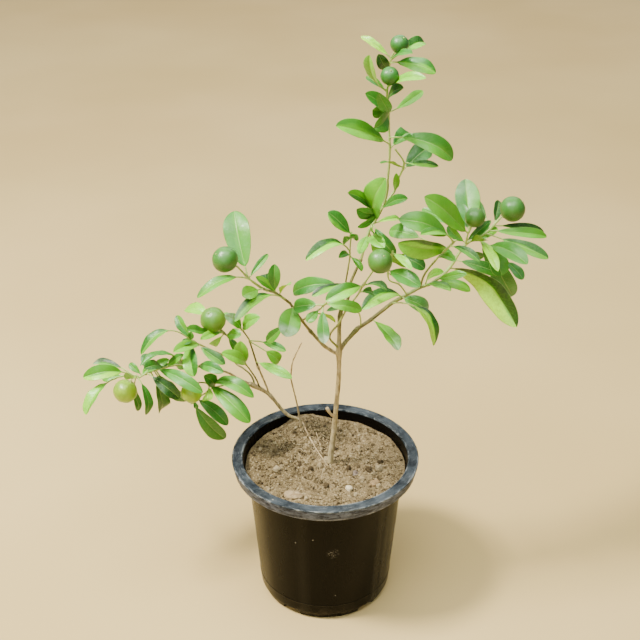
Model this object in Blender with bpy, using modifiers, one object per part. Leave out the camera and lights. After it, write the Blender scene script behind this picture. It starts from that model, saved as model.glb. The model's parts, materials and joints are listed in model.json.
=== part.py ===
"""Potted china orange tree: a young calamondin in a round black nursery pot.

Blender 4.5, metres, +Z up, the front towards -Y. The origin is the centre of the pot's flat base,
on the pot's axis. The pot, the soil, each stone, each bare stem, each leafy shoot and each fruit is
one closed solid. What grows out of another piece keeps a gap of GAP to it.

Stems, shoots and leaves are set out in millimetres as (x, height, back) on an upright plane through
the pot's axis, as a person standing at EYE sees them. `spot` slides such a point by `back` along
the line of sight, away from the eye where back is positive.
"""

import math

import bmesh
import bpy
from mathutils import Vector

MM = 0.001
GAP = 0.0003

# The pot
POT_HEIGHT = 0.172
RIM_RADIUS = 0.1025
RIM_INNER_RADIUS = 0.0898
LIP_HEIGHT = 0.013
LIP_LOWER_RADIUS = 0.099
WALL = 0.002
BODY_TOP_RADIUS = 0.0854
BODY_LOW_RADIUS = 0.0735
FOOT_RADIUS = 0.070
FOOT_HEIGHT = 0.008
FLOOR_THICKNESS = 0.003
BEAD_DROP = 0.024
BEAD_PROUD = 0.0006
# Above SHOULDER_HEIGHT the wall is wider, behind the lip
SHOULDER_RADIUS = 0.0900
SHOULDER_HEIGHT = 0.1545
SHOULDER_DROP = 0.0035
NOTCH_COUNT = 5
NOTCH_WIDTH = 0.012
NOTCH_HEIGHT = 0.005
NOTCH_TURN = math.radians(4)
POT_STEPS = 40

# The soil
SOIL_TOP = 0.159
SOIL_MOUND = 0.011
SOIL_MOUND_PLACE = (-0.019, 0.071)
SOIL_MOUND_REACH = 0.026
SOIL_LUMP = 0.0015
SOIL_RINGS = 6

# The plant
EYE = Vector((-0.006, -0.989, 0.875))
ROUTE_STEPS = 2
LEAF_THICKNESS = 0.0007
LEAF_FOLD = math.radians(22)
STALK_WIDTH = 0.0013
BOW = 0.08
STALK = 0.16
# The plant is this much deeper, from front to back, than it is set out
DEEPER = 1.5
# How far along the blade, and what part of its full width it has there
BLADE = ((0.0, 0.07), (0.27, 0.80), (0.60, 1.0), (0.87, 0.62), (1.0, 0.0))
TOWARDS = {
    "U": Vector((0, 0, 1)),
    "D": Vector((0, 0, -1)),
    "F": Vector((0, -1, 0)),
    "B": Vector((0, 1, 0)),
    "L": Vector((-1, 0, 0)),
    "R": Vector((1, 0, 0)),
}

# Base colour, roughness and metallic value
FINISHES = {
    "black_plastic": ((0.012, 0.011, 0.010), 0.35, 0.0),
    "sandy_soil": ((0.36, 0.28, 0.18), 0.95, 0.0),
    "stone": ((0.55, 0.50, 0.42), 0.85, 0.0),
    "bark": ((0.22, 0.15, 0.08), 0.80, 0.0),
    "green_leaf": ((0.09, 0.24, 0.04), 0.40, 0.0),
    "dry_wood": ((0.35, 0.24, 0.14), 0.90, 0.0),
    "green_fruit": ((0.07, 0.20, 0.03), 0.35, 0.0),
}

# Stones on the soil: place, lengths along X, Y and Z, turn about Z in degrees
STONES = {
    "stone_pale": ((25, -46, 160), (8, 7, 7), 20),
    "stone_tan_large": ((-34, -57, 159), (23, 14, 9), -12),
    "stone_tan_small": ((53, -37, 160), (13, 9, 8), 30),
    "stone_grey": ((32, -20, 160), (10, 8, 7), 0),
}

# Fruit: centre on the set-out plane, radius
FRUITS = {
    "fruit_top": ((66, 621, 5), 8.6),
    "fruit_below_top": ((58, 592, -8), 8.5),
    "fruit_right_outer": ((181, 461, 46), 13.4),
    "fruit_right_inner": ((145, 452, 34), 10.5),
    "fruit_middle": ((54, 405, -34), 11.8),
    "fruit_left_upper": ((-100, 407, -40), 12.3),
    "fruit_left_lower": ((-115, 339, 38), 13.9),
    "fruit_far_left": ((-212, 253, 16), 13.1),
    "fruit_low_left": ((-142, 251, 14), 11.5),
}

# Bare stems: what each grows from, its route, its radius at the foot and at the tip
STEMS = {
    "trunk": (None, ((3, 128, 0), (5, 157, 0), (9, 200, 0), (12, 240, 0), (14, 268, 0),
                     (14, 305, 0), (15, 346, 2), (22, 361, 5), (25, 381, 8), (35, 407, 10)), 3.3, 1.4),
    "left_branch": ("trunk", ((13, 298, 0), (0, 307, -3), (-8, 316, -6), (-16, 326, -8)), 1.9, 1.5),
    "right_branch": ("trunk", ((14, 301, 0), (20, 312, 4), (33, 329, 8)), 2.3, 2.1),
    "second_stem": (None, ((-20, 182, 46), (-26, 213, 48), (-39, 222, 48), (-48, 232, 47),
                           (-59, 248, 45), (-69, 256, 44), (-80, 262, 43)), 2.2, 1.7),
    "second_upper_stem": ("second_stem", ((-59, 248, 45), (-64, 264, 44), (-71, 284, 42)), 1.1, 1.0),
    "far_left_stem": ("second_stem", ((-80, 262, 43), (-92, 269, 41), (-105, 277, 38),
                                      (-130, 283, 32)), 1.4, 1.2),
    "dry_twig": (None, ((-23, 184, 40), (-27, 214, 40), (-31, 241, 39), (-36, 266, 38),
                        (-36, 275, 37), (-34, 290, 35), (-25, 312, 32)), 1.2, 0.7),
}

# A short broken stub on the trunk: its route, its radius at the foot and at the tip
STUB = (((9, 221, 0), (5, 225, -3), (2, 231, -4)), 1.7, 1.4)

# Leafy shoots: what each grows from, the fruit at its tip, its route, its radius at the foot and at
# the tip, and its leaves. A leaf is how far along the route it starts, its tip (x, height, back), its
# width, the way its upper face looks, and, where they differ from BOW and STALK, how far its midrib
# bows up and how much of it is stalk.
SHOOTS = {
    "left_low_shoot": ("left_branch", None, ((-16, 326, -8), (-26, 341, -12), (-36, 358, -15)), 1.5, 1.3, (
        (0.88, -41, 319, -34, 20, "F", 0.06, 0.06),
        (0.70, -61, 313, -5, 10, "UF", 0.02, 0.45),
        (0.40, -34, 329, 8, 9, "U"),
    )),
    "left_inner_shoot": ("left_low_shoot", None, ((-24, 338, -11), (-14, 345, -18), (-5, 352, -24),
                                                  (0, 358, -28)), 1.0, 0.8, (
        (0.90, -32, 353, -20, 14, "UF", 0.06, 0.25),
        (0.60, -19, 336, -32, 9, "UF"),
        (0.80, -1, 311, -40, 11, "F", 0.06),
        (0.95, 37, 350, -28, 11, "UF", 0.15, 0.08),
        (0.40, 10, 336, -10, 6, "UB"),
    )),
    "left_mid_shoot": ("left_low_shoot", None, ((-36, 358, -15), (-43, 364, -20), (-51, 370, -24),
                                                (-60, 373, -28)), 1.3, 1.2, (
        (0.98, -60, 391, -15, 14, "F", 0.05),
        (0.65, -51, 402, -26, 11, "F"),
        (0.50, -36, 379, -32, 10, "U"),
        (0.15, -93, 337, -46, 11, "UUF", 0.24, 0.38),
    )),
    "left_tip_shoot": ("left_mid_shoot", "fruit_left_upper", ((-60, 373, -28), (-68, 378, -30),
                                                              (-76, 385, -32), (-88, 399, -36)), 1.2, 0.9, (
        (0.72, -89, 459, -2, 23, "F", 0.03, 0.16),
        (0.70, -57, 413, -20, 6, "UF", 0.04, 0.12),
        (0.30, -130, 364, -54, 11, "UUF", 0.26, 0.46),
        (0.12, -84, 366, -42, 13, "UF", 0.02, 0.30),
    )),
    "middle_twig_shoot": ("trunk", "fruit_middle", ((14, 305, 0), (4, 319, -8), (13, 334, -13),
                                                    (22, 352, -16), (32, 367, -18), (37, 377, -20),
                                                    (44, 389, -24), (49, 397, -28)), 1.2, 0.8, (
        (0.72, 0, 361, -38, 14, "UF", 0.20, 0.12),
        (0.72, 62, 373, -30, 12, "U", 0.13),
        (0.62, 48, 368, -2, 9, "UF", 0.05),
    )),
    "inner_left_low_shoot": ("trunk", None, ((15, 346, 2), (19, 369, 0), (20, 381, -2), (22, 395, -5),
                                             (24, 410, -8)), 1.0, 0.8, (
        (0.45, -33, 370, 8, 16, "UF", 0.20),
        (0.50, -14, 366, -12, 9, "UUF", 0.06, 0.12),
    )),
    "inner_left_top_shoot": ("inner_left_low_shoot", None, ((24, 410, -8), (24, 419, -10),
                                                            (25, 435, -14)), 0.8, 0.7, (
        (0.97, 2, 458, -18, 13, "UF", 0.06, 0.10),
        (0.90, 18, 432, -28, 10, "F"),
        (0.90, 31, 434, -20, 9, "F"),
        (0.30, -20, 406, -32, 12, "UUF", 0.27, 0.26),
        (0.05, 36, 394, -16, 8, "U"),
        (0.05, 13, 409, -26, 7, "UF"),
    )),
    "crown_low_shoot": ("trunk", None, ((35, 407, 10), (38, 420, 11), (43, 440, 13),
                                        (48, 449, 14)), 1.4, 1.3, (
        (0.85, 74, 449, 30, 7, "UUF"),
        (0.80, 55, 431, -12, 10, "F"),
        (0.85, 69, 412, 2, 12, "F"),
        (0.60, 58, 415, 18, 15, "F"),
        (0.50, 58, 420, -14, 12, "UF"),
        (0.55, 33, 413, -12, 9, "UF"),
    )),
    "crown_mid_shoot": ("crown_low_shoot", None, ((48, 449, 14), (56, 466, 12), (59, 480, 10),
                                                  (59, 492, 8)), 1.3, 1.2, (
        (0.06, 57, 493, -14, 24, "FL", 0.12, 0.10),
        (0.22, 79, 472, -6, 10, "UF", 0.04, 0.15),
        (0.14, 21, 478, -16, 12, "UF", 0.02),
        (0.16, 31, 442, -8, 7, "F", 0.05),
    )),
    "crown_side_shoot": ("crown_mid_shoot", None, ((56, 466, 12), (66, 480, 16), (70, 494, 12), (74, 508, 6),
                                                   (66, 521, 2)), 1.1, 0.8, (
        (0.60, 97, 523, 26, 18, "UF"),
        (0.75, 107, 505, -6, 7, "UF", 0.06),
        (0.68, 52, 508, -20, 10, "U", -0.02),
        (0.25, 67, 498, 4, 6, "F", 0.05, 0.10),
    )),
    "crown_high_shoot": ("crown_mid_shoot", None, ((59, 492, 8), (60, 507, 7), (60, 523, 6),
                                                   (59, 538, 6)), 1.2, 1.1, (
        (0.75, 9, 545, -16, 18, "UF", 0.07),
        (0.65, 78, 538, 28, 15, "UF"),
        (0.90, 120, 512, -2, 18, "UF", 0.22, 0.20),
    )),
    "crown_node_shoot": ("crown_high_shoot", None, ((59, 538, 6), (58, 552, 6), (57, 563, 6),
                                                    (56, 575, 6)), 1.1, 1.0, (
        (0.80, 71, 581, -10, 12, "UF"),
        (0.50, 89, 578, 20, 9, "UF", -0.08, 0.25),
        (0.35, 36, 576, -10, 13, "UF"),
        (0.50, 48, 576, -24, 10, "F"),
        (0.45, 45, 542, -14, 15, "F"),
        (0.38, 48, 541, 18, 11, "F"),
    )),
    "top_fruit_shoot": ("crown_node_shoot", "fruit_below_top", ((56, 572, 6), (56, 580, 0),
                                                                (57, 586, -4)), 0.9, 0.8, (
        (0.40, 39, 611, -21, 13, "FL", 0.10, 0.30),
        (0.60, 91, 590, -24, 9, "UF"),
        (0.30, 36, 591, 6, 6, "UF"),
    )),
    "top_shoot": ("crown_node_shoot", "fruit_top", ((56, 575, 6), (57, 592, 10), (58, 606, 10),
                                                    (61, 613, 8)), 1.0, 0.8, (
        (0.78, 31, 628, 16, 7, "UF"),
        (0.45, 47, 612, 0, 10, "F"),
        (0.68, 88, 623, 22, 12, "UF", 0.15, 0.30),
        (0.66, 78, 613, -12, 8, "UF"),
        (0.62, 100, 595, -4, 14, "UF", 0.15, 0.20),
    )),
    "right_base_shoot": ("right_branch", None, ((33, 329, 8), (45, 338, 11), (56, 348, 15)), 2.1, 2.0, (
        (0.12, 1, 349, -22, 7, "UUF", 0.20, 0.45),
        (0.60, 76, 303, -6, 16, "FR", 0.05, 0.12),
    )),
    "right_low_shoot": ("right_base_shoot", None, ((56, 348, 15), (67, 358, 18), (79, 366, 22)), 2.0, 1.9, (
        (0.92, 37, 351, -6, 16, "UUF", 0.20, 0.06),
        (0.90, 104, 349, 14, 15, "UF", 0.16, 0.12),
        (0.50, 112, 308, -6, 16, "UFR", 0.34, 0.38),
    )),
    "right_mid_shoot": ("right_low_shoot", None, ((79, 366, 22), (95, 376, 28), (105, 380, 32),
                                                  (114, 387, 35)), 1.9, 1.7, (
        (0.45, 126, 372, 2, 11, "UUF", 0.08),
        (0.60, 146, 372, 28, 12, "UUF", 0.10),
        (0.50, 118, 393, 4, 10, "UF"),
        (0.88, 141, 391, 18, 9, "UF"),
    )),
    "middle_right_shoot": ("right_mid_shoot", None, ((82, 368, 23), (74, 379, 15), (64, 384, 8), (62, 395, 3),
                                                     (63, 406, -2), (66, 415, -5)), 0.9, 0.7, (
        (0.98, 86, 396, -26, 7, "UF"),
        (0.90, 84, 399, 12, 13, "B"),
        (0.95, 99, 397, -12, 12, "UF", 0.12, 0.30),
        (0.60, 95, 377, -20, 15, "UF", 0.10, 0.12),
        (0.55, 74, 381, -12, 7, "B"),
    )),
    "right_upper_shoot": ("right_mid_shoot", None, ((95, 376, 28), (99, 391, 20), (112, 410, 11),
                                                    (127, 427, 4)), 1.2, 0.9, (
        (0.98, 71, 450, -14, 20, "UF", 0.12, 0.25),
        (0.80, 62, 438, 30, 15, "UF", 0.10, 0.45),
        (0.96, 93, 434, -24, 11, "UUF", 0.12),
        (0.85, 71, 425, -16, 20, "F", 0.10, 0.08),
        (0.90, 153, 405, -12, 8, "UF"),
        (0.60, 129, 405, -18, 9, "UF"),
    )),
    "right_fork_shoot": ("right_mid_shoot", None, ((114, 387, 35), (124, 399, 38), (135, 420, 40),
                                                   (142, 427, 42)), 1.7, 1.4, (
        (0.30, 196, 330, 22, 27, "FFL", -0.28, 0.06),
        (0.45, 174, 391, 34, 12, "UF"),
        (0.88, 157, 428, 20, 11, "B"),
    )),
    "right_fruit_shoot": ("right_fork_shoot", "fruit_right_inner", ((138, 423, 41), (139, 433, 36),
                                                                    (142, 442, 34)), 1.0, 0.9, (
        (0.80, 133, 492, 66, 23, "F", -0.08, 0.10),
        (0.75, 129, 466, 54, 13, "F", -0.08),
        (0.60, 95, 474, 20, 21, "UF", 0.06, 0.10),
        (0.65, 93, 461, 50, 10, "UF", 0.05, 0.30),
    )),
    "right_tip_shoot": ("right_fork_shoot", "fruit_right_outer", ((142, 427, 42), (156, 435, 44),
                                                                  (171, 453, 46)), 1.2, 0.9, (
        (0.80, 167, 470, 66, 10, "F", -0.05),
        (0.66, 130, 468, 82, 11, "U", 0.20),
        (0.60, 217, 432, 44, 11, "UF"),
        (0.75, 214, 436, 58, 9, "UF"),
        (0.52, 221, 408, 24, 13, "UF", 0.0, 0.28),
    )),
    "right_hanging_shoot": ("right_tip_shoot", None, ((149, 431, 43), (158, 424, 33), (170, 416, 29),
                                                      (181, 402, 26)), 0.8, 0.7, (
        (0.42, 201, 402, 0, 17, "UF", 0.12, 0.08),
        (0.45, 176, 389, 20, 19, "UF", 0.10),
        (0.90, 198, 385, 14, 10, "UF"),
        (0.10, 172, 394, 4, 10, "UF", 0.05, 0.12),
        (0.05, 189, 366, 60, 20, "F", 0.00, 0.10),
    )),
    "second_leafy_shoot": ("second_upper_stem", None, ((-71, 284, 42), (-76, 304, 41),
                                                       (-79, 316, 40)), 1.0, 0.9, (
        (0.92, -41, 302, 22, 8, "UF", 0.10, 0.45),
        (0.88, -48, 289, 40, 13, "UF", 0.12, 0.50),
        (0.12, -35, 269, 18, 10, "UF", 0.10, 0.15),
    )),
    "second_tip_shoot": ("second_leafy_shoot", None, ((-79, 316, 40), (-85, 326, 38),
                                                      (-93, 333, 36)), 0.9, 0.7, (
        (0.60, -103, 344, 18, 12, "UF"),
        (0.80, -104, 347, 50, 7, "U"),
        (0.50, -67, 342, 22, 14, "UF", 0.10, 0.20),
    )),
    "second_inner_shoot": ("second_stem", None, ((-69, 256, 44), (-73, 268, 40), (-80, 281, 36),
                                                 (-84, 287, 34)), 1.0, 0.8, (
        (0.97, -88, 314, 24, 14, "F", 0.06, 0.12),
        (0.93, -108, 300, 14, 13, "UF", 0.16),
    )),
    "left_fruit_shoot": ("second_stem", "fruit_left_lower", ((-74, 259, 44), (-78, 272, 48), (-86, 281, 51),
                                                             (-94, 288, 53), (-93, 303, 52), (-99, 317, 48),
                                                             (-108, 327, 44)), 1.1, 0.8, (
        (0.90, -87, 321, 36, 12, "UF"),
        (0.95, -129, 316, 20, 8, "UF"),
        (0.93, -118, 309, 60, 8, "F"),
        (0.95, -142, 352, 64, 15, "UUF", 0.24, 0.45),
        (0.94, -143, 328, 14, 10, "UF", -0.10, 0.30),
        (0.88, -92, 303, 44, 8, "UF", 0.12),
    )),
    "far_upper_shoot": ("left_fruit_shoot", None, ((-94, 288, 53), (-108, 298, 50), (-123, 306, 46),
                                                   (-141, 316, 40)), 0.9, 0.7, (
        (0.97, -192, 298, 22, 13, "UUFL", 0.36, 0.45),
        (0.92, -152, 344, 52, 10, "F"),
        (0.95, -148, 310, 24, 8, "UF"),
        (0.92, -105, 286, 26, 11, "UF", 0.02, 0.28),
        (0.95, -138, 271, 12, 16, "F", 0.10, 0.20),
        (0.97, -138, 325, 38, 7, "UF"),
        (0.80, -158, 301, 16, 12, "UF", 0.10, 0.15),
    )),
    "far_mid_shoot": ("far_left_stem", None, ((-130, 283, 32), (-145, 285, 28), (-158, 285, 25)), 1.2, 1.1, (
        (0.12, -107, 276, 8, 11, "UF", 0.12),
        (0.20, -159, 296, 52, 15, "F"),
        (0.60, -187, 274, 48, 10, "UF", 0.20),
        (0.50, -194, 284, 8, 11, "U", 0.20, 0.30),
    )),
    "far_left_shoot": ("far_mid_shoot", None, ((-158, 285, 25), (-172, 281, 23), (-184, 277, 21),
                                               (-196, 270, 20)), 1.1, 1.0, (
        (0.45, -130, 251, 0, 13, "UF", 0.15, 0.10),
        (0.30, -190, 281, -2, 12, "UF", 0.10),
        (0.55, -160, 257, 28, 14, "F", 0.10, 0.20),
        (0.75, -155, 244, 10, 13, "UF", 0.20, 0.20),
        (0.65, -177, 229, 30, 16, "FR", 0.12, 0.25),
        (0.72, -186, 299, 34, 10, "F"),
        (0.50, -148, 240, 40, 13, "F", 0.05, 0.20),
    )),
    "far_tip_shoot": ("far_left_shoot", "fruit_far_left", ((-196, 270, 20), (-200, 272, 19),
                                                           (-204, 268, 18)), 1.0, 0.9, (
        (0.70, -255, 270, 0, 15, "UF", 0.24, 0.36),
        (0.60, -243, 287, 32, 8, "UUF", 0.14, 0.30),
        (0.40, -209, 276, -4, 9, "F"),
        (0.55, -257, 223, -16, 16, "UFL", 0.22, 0.50),
        (0.30, -192, 223, 12, 10, "FR", 0.20, 0.20),
        (0.25, -200, 228, 32, 8, "FR", -0.16, 0.50),
        (0.60, -235, 268, 20, 9, "UF", 0.05, 0.40),
    )),
    "low_left_shoot": ("second_stem", "fruit_low_left", ((-77, 260, 43), (-88, 260, 37), (-100, 262, 34),
                                                         (-118, 258, 28), (-126, 263, 24),
                                                         (-133, 264, 20)), 1.1, 0.8, (
        (0.66, -76, 245, 6, 14, "UUF", 0.26, 0.14),
        (0.68, -81, 213, 2, 17, "UF", 0.14, 0.06),
        (0.60, -128, 272, 12, 13, "UF", 0.10),
        (0.70, -127, 241, 4, 11, "F", 0.05),
    )),
    "low_hanging_shoot": ("low_left_shoot", None, ((-118, 258, 28), (-128, 250, 32), (-138, 242, 35),
                                                   (-142, 238, 36)), 0.9, 0.8, (
        (0.62, -105, 210, 16, 14, "UF", 0.12, 0.10),
        (0.92, -109, 192, 32, 18, "F", 0.10, 0.12),
        (0.80, -137, 231, 34, 5, "UF", 0.05, 0.10),
    )),
}


def reset_scene():
    """Remove what the scene holds, and return the collections for parts and for cutters."""
    for thing in list(bpy.data.objects):
        bpy.data.objects.remove(thing, do_unlink=True)
    parts = bpy.data.collections.new("china_orange_tree")
    cutters = bpy.data.collections.new("cutters")
    bpy.context.scene.collection.children.link(parts)
    bpy.context.scene.collection.children.link(cutters)
    return parts, cutters


PARTS, CUTTERS = reset_scene()


def add_part(name, mesh, finish):
    """Make the named object, with a material of its own."""
    colour, roughness, metallic = FINISHES[finish]
    material = bpy.data.materials.new(name)
    material.use_nodes = True
    shader = material.node_tree.nodes["Principled BSDF"]
    shader.inputs["Base Color"].default_value = (*colour, 1.0)
    shader.inputs["Roughness"].default_value = roughness
    shader.inputs["Metallic"].default_value = metallic
    mesh.materials.clear()
    mesh.materials.append(material)
    thing = bpy.data.objects.new(name, mesh)
    PARTS.objects.link(thing)
    return thing


def add_helper(name, mesh):
    """Make an object that only cuts or joins."""
    thing = bpy.data.objects.new(name, mesh)
    thing.hide_render = True
    thing.display_type = "WIRE"
    CUTTERS.objects.link(thing)
    return thing


def evaluated_mesh(thing):
    """Return the object's mesh with its modifiers, as a new mesh."""
    graph = bpy.context.evaluated_depsgraph_get()
    return bpy.data.meshes.new_from_object(thing.evaluated_get(graph))


def combine(mesh, others, operation):
    """Return `mesh` joined with, or cut by, each of the other meshes."""
    base = add_helper("base", mesh)
    helpers = [add_helper("other", other) for other in others]
    for helper in helpers:
        step = base.modifiers.new(operation, "BOOLEAN")
        step.operation = operation
        step.solver = "EXACT"
        step.object = helper
    result = evaluated_mesh(base)
    for helper in [base, *helpers]:
        bpy.data.objects.remove(helper, do_unlink=True)
    return result


def tidy(mesh, distance=1e-6):
    """Weld what lies together."""
    shape = bmesh.new()
    shape.from_mesh(mesh)
    bmesh.ops.remove_doubles(shape, verts=shape.verts, dist=distance)
    shape.to_mesh(mesh)
    shape.free()
    return mesh


def spot(x, height, back):
    """Return the place of a point of the set-out plane, slid along the line of sight."""
    point = Vector((x, 0, height)) * MM
    return EYE + (point - EYE) * (1 - back * DEEPER * MM / EYE.y)


def smooth_route(route):
    """Return a smooth row of points through the route's own points."""
    points = [spot(*place) for place in route]
    row = [points[0] * 2 - points[1], *points, points[-1] * 2 - points[-2]]
    smooth = [points[0]]
    for before, start, end, after in zip(row, row[1:], row[2:], row[3:]):
        for step in range(1, ROUTE_STEPS + 1):
            t = step / ROUTE_STEPS
            cubic = (3 * (start - end) + after - before) * t**3
            square = (2 * before - 5 * start + 4 * end - after) * t**2
            smooth.append(start + (cubic + square + (end - before) * t) / 2)
    return smooth


def tube(points, radius_foot, radius_tip, sides=1):
    """Return a closed tube along the points, which narrows evenly."""
    curve = bpy.data.curves.new("tube", "CURVE")
    curve.dimensions = "3D"
    curve.bevel_depth = 1.0
    curve.bevel_resolution = sides
    curve.use_fill_caps = True
    line = curve.splines.new("POLY")
    line.points.add(len(points) - 1)
    last = len(points) - 1
    for index, place in enumerate(points):
        line.points[index].co = (*place, 1.0)
        line.points[index].radius = radius_foot + (radius_tip - radius_foot) * index / last
    holder = bpy.data.objects.new("tube", curve)
    CUTTERS.objects.link(holder)
    mesh = evaluated_mesh(holder)
    bpy.data.objects.remove(holder, do_unlink=True)
    return tidy(mesh)


def loft(sections):
    """Return a closed mesh through rings of points, whose last ring may be a single point."""
    shape = bmesh.new()
    rings = [[shape.verts.new(point) for point in section] for section in sections]
    shape.faces.new(list(reversed(rings[0])))
    for near, far in zip(rings, rings[1:]):
        count = len(near)
        for index in range(count):
            after = (index + 1) % count
            corners = [near[index], near[after]]
            corners += [far[0]] if len(far) == 1 else [far[after], far[index]]
            shape.faces.new(corners)
    bmesh.ops.recalc_face_normals(shape, faces=shape.faces)
    mesh = bpy.data.meshes.new("loft")
    shape.to_mesh(mesh)
    shape.free()
    return mesh


def leaf(start, tip, width, looks, bow=BOW, stalk=STALK):
    """Return a thin folded blade on its stalk, from start to tip."""
    chord = tip - start
    upper = sum((TOWARDS[way] for way in looks), Vector())
    upper = (upper - chord * upper.dot(chord) / chord.length_squared).normalized()
    bend = (start + tip) / 2 + upper * chord.length * bow * 2
    stations = [(0.0, STALK_WIDTH)]
    for along, share in BLADE:
        stations.append((stalk + (1 - stalk) * along, max(STALK_WIDTH, share * width * MM)))
    sections = []
    for t, full_width in stations:
        place = start * (1 - t) ** 2 + bend * 2 * t * (1 - t) + tip * t**2
        ahead = ((bend - start) * (1 - t) + (tip - bend) * t).normalized()
        across = ahead.cross(upper).normalized()
        normal = across.cross(ahead)
        fold = 0.0 if full_width == STALK_WIDTH else LEAF_FOLD
        reach = full_width / 2
        thick = LEAF_THICKNESS / 2 if fold else STALK_WIDTH / 2
        lift = normal * reach * math.sin(fold)
        out = across * reach * math.cos(fold)
        keel = normal * thick
        sections.append([place - out + lift, place + keel, place + out + lift, place - keel])
    sections[-1] = [tip]
    return loft(sections)


def along_route(points, share):
    """Return the point a share of the way along the row of points."""
    position = share * (len(points) - 1)
    index = min(int(position), len(points) - 2)
    return points[index].lerp(points[index + 1], position - index)


def ball(centre, radius, segments=14, rings=9):
    """Return a sphere."""
    shape = bmesh.new()
    bmesh.ops.create_uvsphere(shape, u_segments=segments, v_segments=rings, radius=radius)
    bmesh.ops.translate(shape, verts=shape.verts, vec=centre)
    mesh = bpy.data.meshes.new("ball")
    shape.to_mesh(mesh)
    shape.free()
    return mesh


def turned(profile, steps):
    """Return the closed solid made by turning a profile of (radius, height) about the Z axis."""
    shape = bmesh.new()
    points = [shape.verts.new((radius, 0, height)) for radius, height in profile]
    for near, far in zip(points, points[1:]):
        shape.edges.new((near, far))
    mesh = bpy.data.meshes.new("profile")
    shape.to_mesh(mesh)
    shape.free()
    holder = add_helper("turned", mesh)
    screw = holder.modifiers.new("turn", "SCREW")
    screw.steps = steps
    screw.render_steps = steps
    screw.use_merge_vertices = True
    screw.merge_threshold = 0.00001
    result = evaluated_mesh(holder)
    bpy.data.objects.remove(holder, do_unlink=True)
    return result


def block(size, centre, turn):
    """Return a box of the given size, turned about the Z axis through the origin."""
    shape = bmesh.new()
    bmesh.ops.create_cube(shape, size=1.0)
    bmesh.ops.scale(shape, verts=shape.verts, vec=size)
    bmesh.ops.translate(shape, verts=shape.verts, vec=centre)
    for corner in shape.verts:
        x, y, z = corner.co
        corner.co = (x * math.cos(turn) - y * math.sin(turn), x * math.sin(turn) + y * math.cos(turn), z)
    mesh = bpy.data.meshes.new("block")
    shape.to_mesh(mesh)
    shape.free()
    return mesh


def wall_radius(height):
    """Return the radius of the pot's inner wall at a height."""
    top = POT_HEIGHT - LIP_HEIGHT
    share = (height - FOOT_HEIGHT) / (top - FOOT_HEIGHT)
    return BODY_LOW_RADIUS + (BODY_TOP_RADIUS - BODY_LOW_RADIUS) * share - WALL


def pot_profile():
    """Return the pot's section, from the middle of the underside's edge round to the floor inside."""
    top = POT_HEIGHT
    lip = POT_HEIGHT - LIP_HEIGHT
    bead = POT_HEIGHT - BEAD_DROP
    bead_radius = wall_radius(bead) + WALL
    return (
        (0.0, FLOOR_THICKNESS),
        (FOOT_RADIUS - WALL * 2, FLOOR_THICKNESS),
        (wall_radius(FOOT_HEIGHT), FOOT_HEIGHT),
        (wall_radius(SHOULDER_HEIGHT - SHOULDER_DROP), SHOULDER_HEIGHT - SHOULDER_DROP),
        (SHOULDER_RADIUS - WALL, SHOULDER_HEIGHT),
        (RIM_INNER_RADIUS, top - 0.002),
        (RIM_INNER_RADIUS + 0.001, top),
        (RIM_RADIUS - 0.001, top),
        (RIM_RADIUS, top - 0.001),
        (LIP_LOWER_RADIUS, lip),
        (LIP_LOWER_RADIUS - WALL, lip),
        (RIM_RADIUS - WALL * 1.6, top - WALL),
        (RIM_INNER_RADIUS + WALL, top - WALL),
        (SHOULDER_RADIUS, SHOULDER_HEIGHT),
        (wall_radius(SHOULDER_HEIGHT - SHOULDER_DROP) + WALL, SHOULDER_HEIGHT - SHOULDER_DROP),
        (bead_radius, bead + 0.001),
        (bead_radius + BEAD_PROUD, bead),
        (bead_radius, bead - 0.001),
        (BODY_LOW_RADIUS, FOOT_HEIGHT),
        (FOOT_RADIUS + 0.0015, FOOT_HEIGHT - 0.001),
        (FOOT_RADIUS, 0.0),
        (0.0, 0.0),
    )


def make_pot():
    """The pot: a thin wall with a wide flat rim, a turned-down lip and drain notches in its foot."""
    body = turned(pot_profile(), POT_STEPS)
    size = (0.020, NOTCH_WIDTH, NOTCH_HEIGHT * 2)
    notches = []
    for index in range(NOTCH_COUNT):
        turn = NOTCH_TURN - math.pi / 2 + math.tau * (index + 0.5) / NOTCH_COUNT
        notches.append(block(size, (FOOT_RADIUS + 0.006, 0, 0), turn))
    pot = add_part("nursery_pot", combine(body, notches, "DIFFERENCE"), "black_plastic")
    pot.data.shade_smooth()
    pot.data.set_sharp_from_angle(angle=math.radians(30))


def soil_height(x, y):
    """Return the height of the soil's surface: flat lumps, and a mound round the second stem."""
    reach = math.hypot(x - SOIL_MOUND_PLACE[0], y - SOIL_MOUND_PLACE[1]) / SOIL_MOUND_REACH
    lumps = math.sin(x * 95 + 1) * math.cos(y * 120) * SOIL_LUMP
    return SOIL_TOP + lumps + SOIL_MOUND * math.exp(-reach * reach)


def make_soil(holes):
    """The soil: it fills the pot, and the stems and stones sit in holes of their own shape."""
    shoulder_foot = SHOULDER_HEIGHT - SHOULDER_DROP
    edge = SHOULDER_RADIUS - WALL - GAP * 2
    floor = FLOOR_THICKNESS + GAP
    top = [(edge * ring / SOIL_RINGS, SOIL_TOP) for ring in range(SOIL_RINGS + 1)]
    side = [
        (edge, SHOULDER_HEIGHT),
        (wall_radius(shoulder_foot) - GAP * 2, shoulder_foot),
        (wall_radius(FOOT_HEIGHT) - GAP * 2, FOOT_HEIGHT),
        (FOOT_RADIUS - WALL * 2 - GAP * 4, floor),
        (0.0, floor),
    ]
    mesh = turned([*reversed(side), *reversed(top)], POT_STEPS)
    for corner in mesh.vertices:
        if corner.co.z > SOIL_TOP - 0.001:
            corner.co.z = soil_height(corner.co.x, corner.co.y)
    add_part("potting_soil", combine(mesh, holes, "DIFFERENCE"), "sandy_soil")


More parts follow.
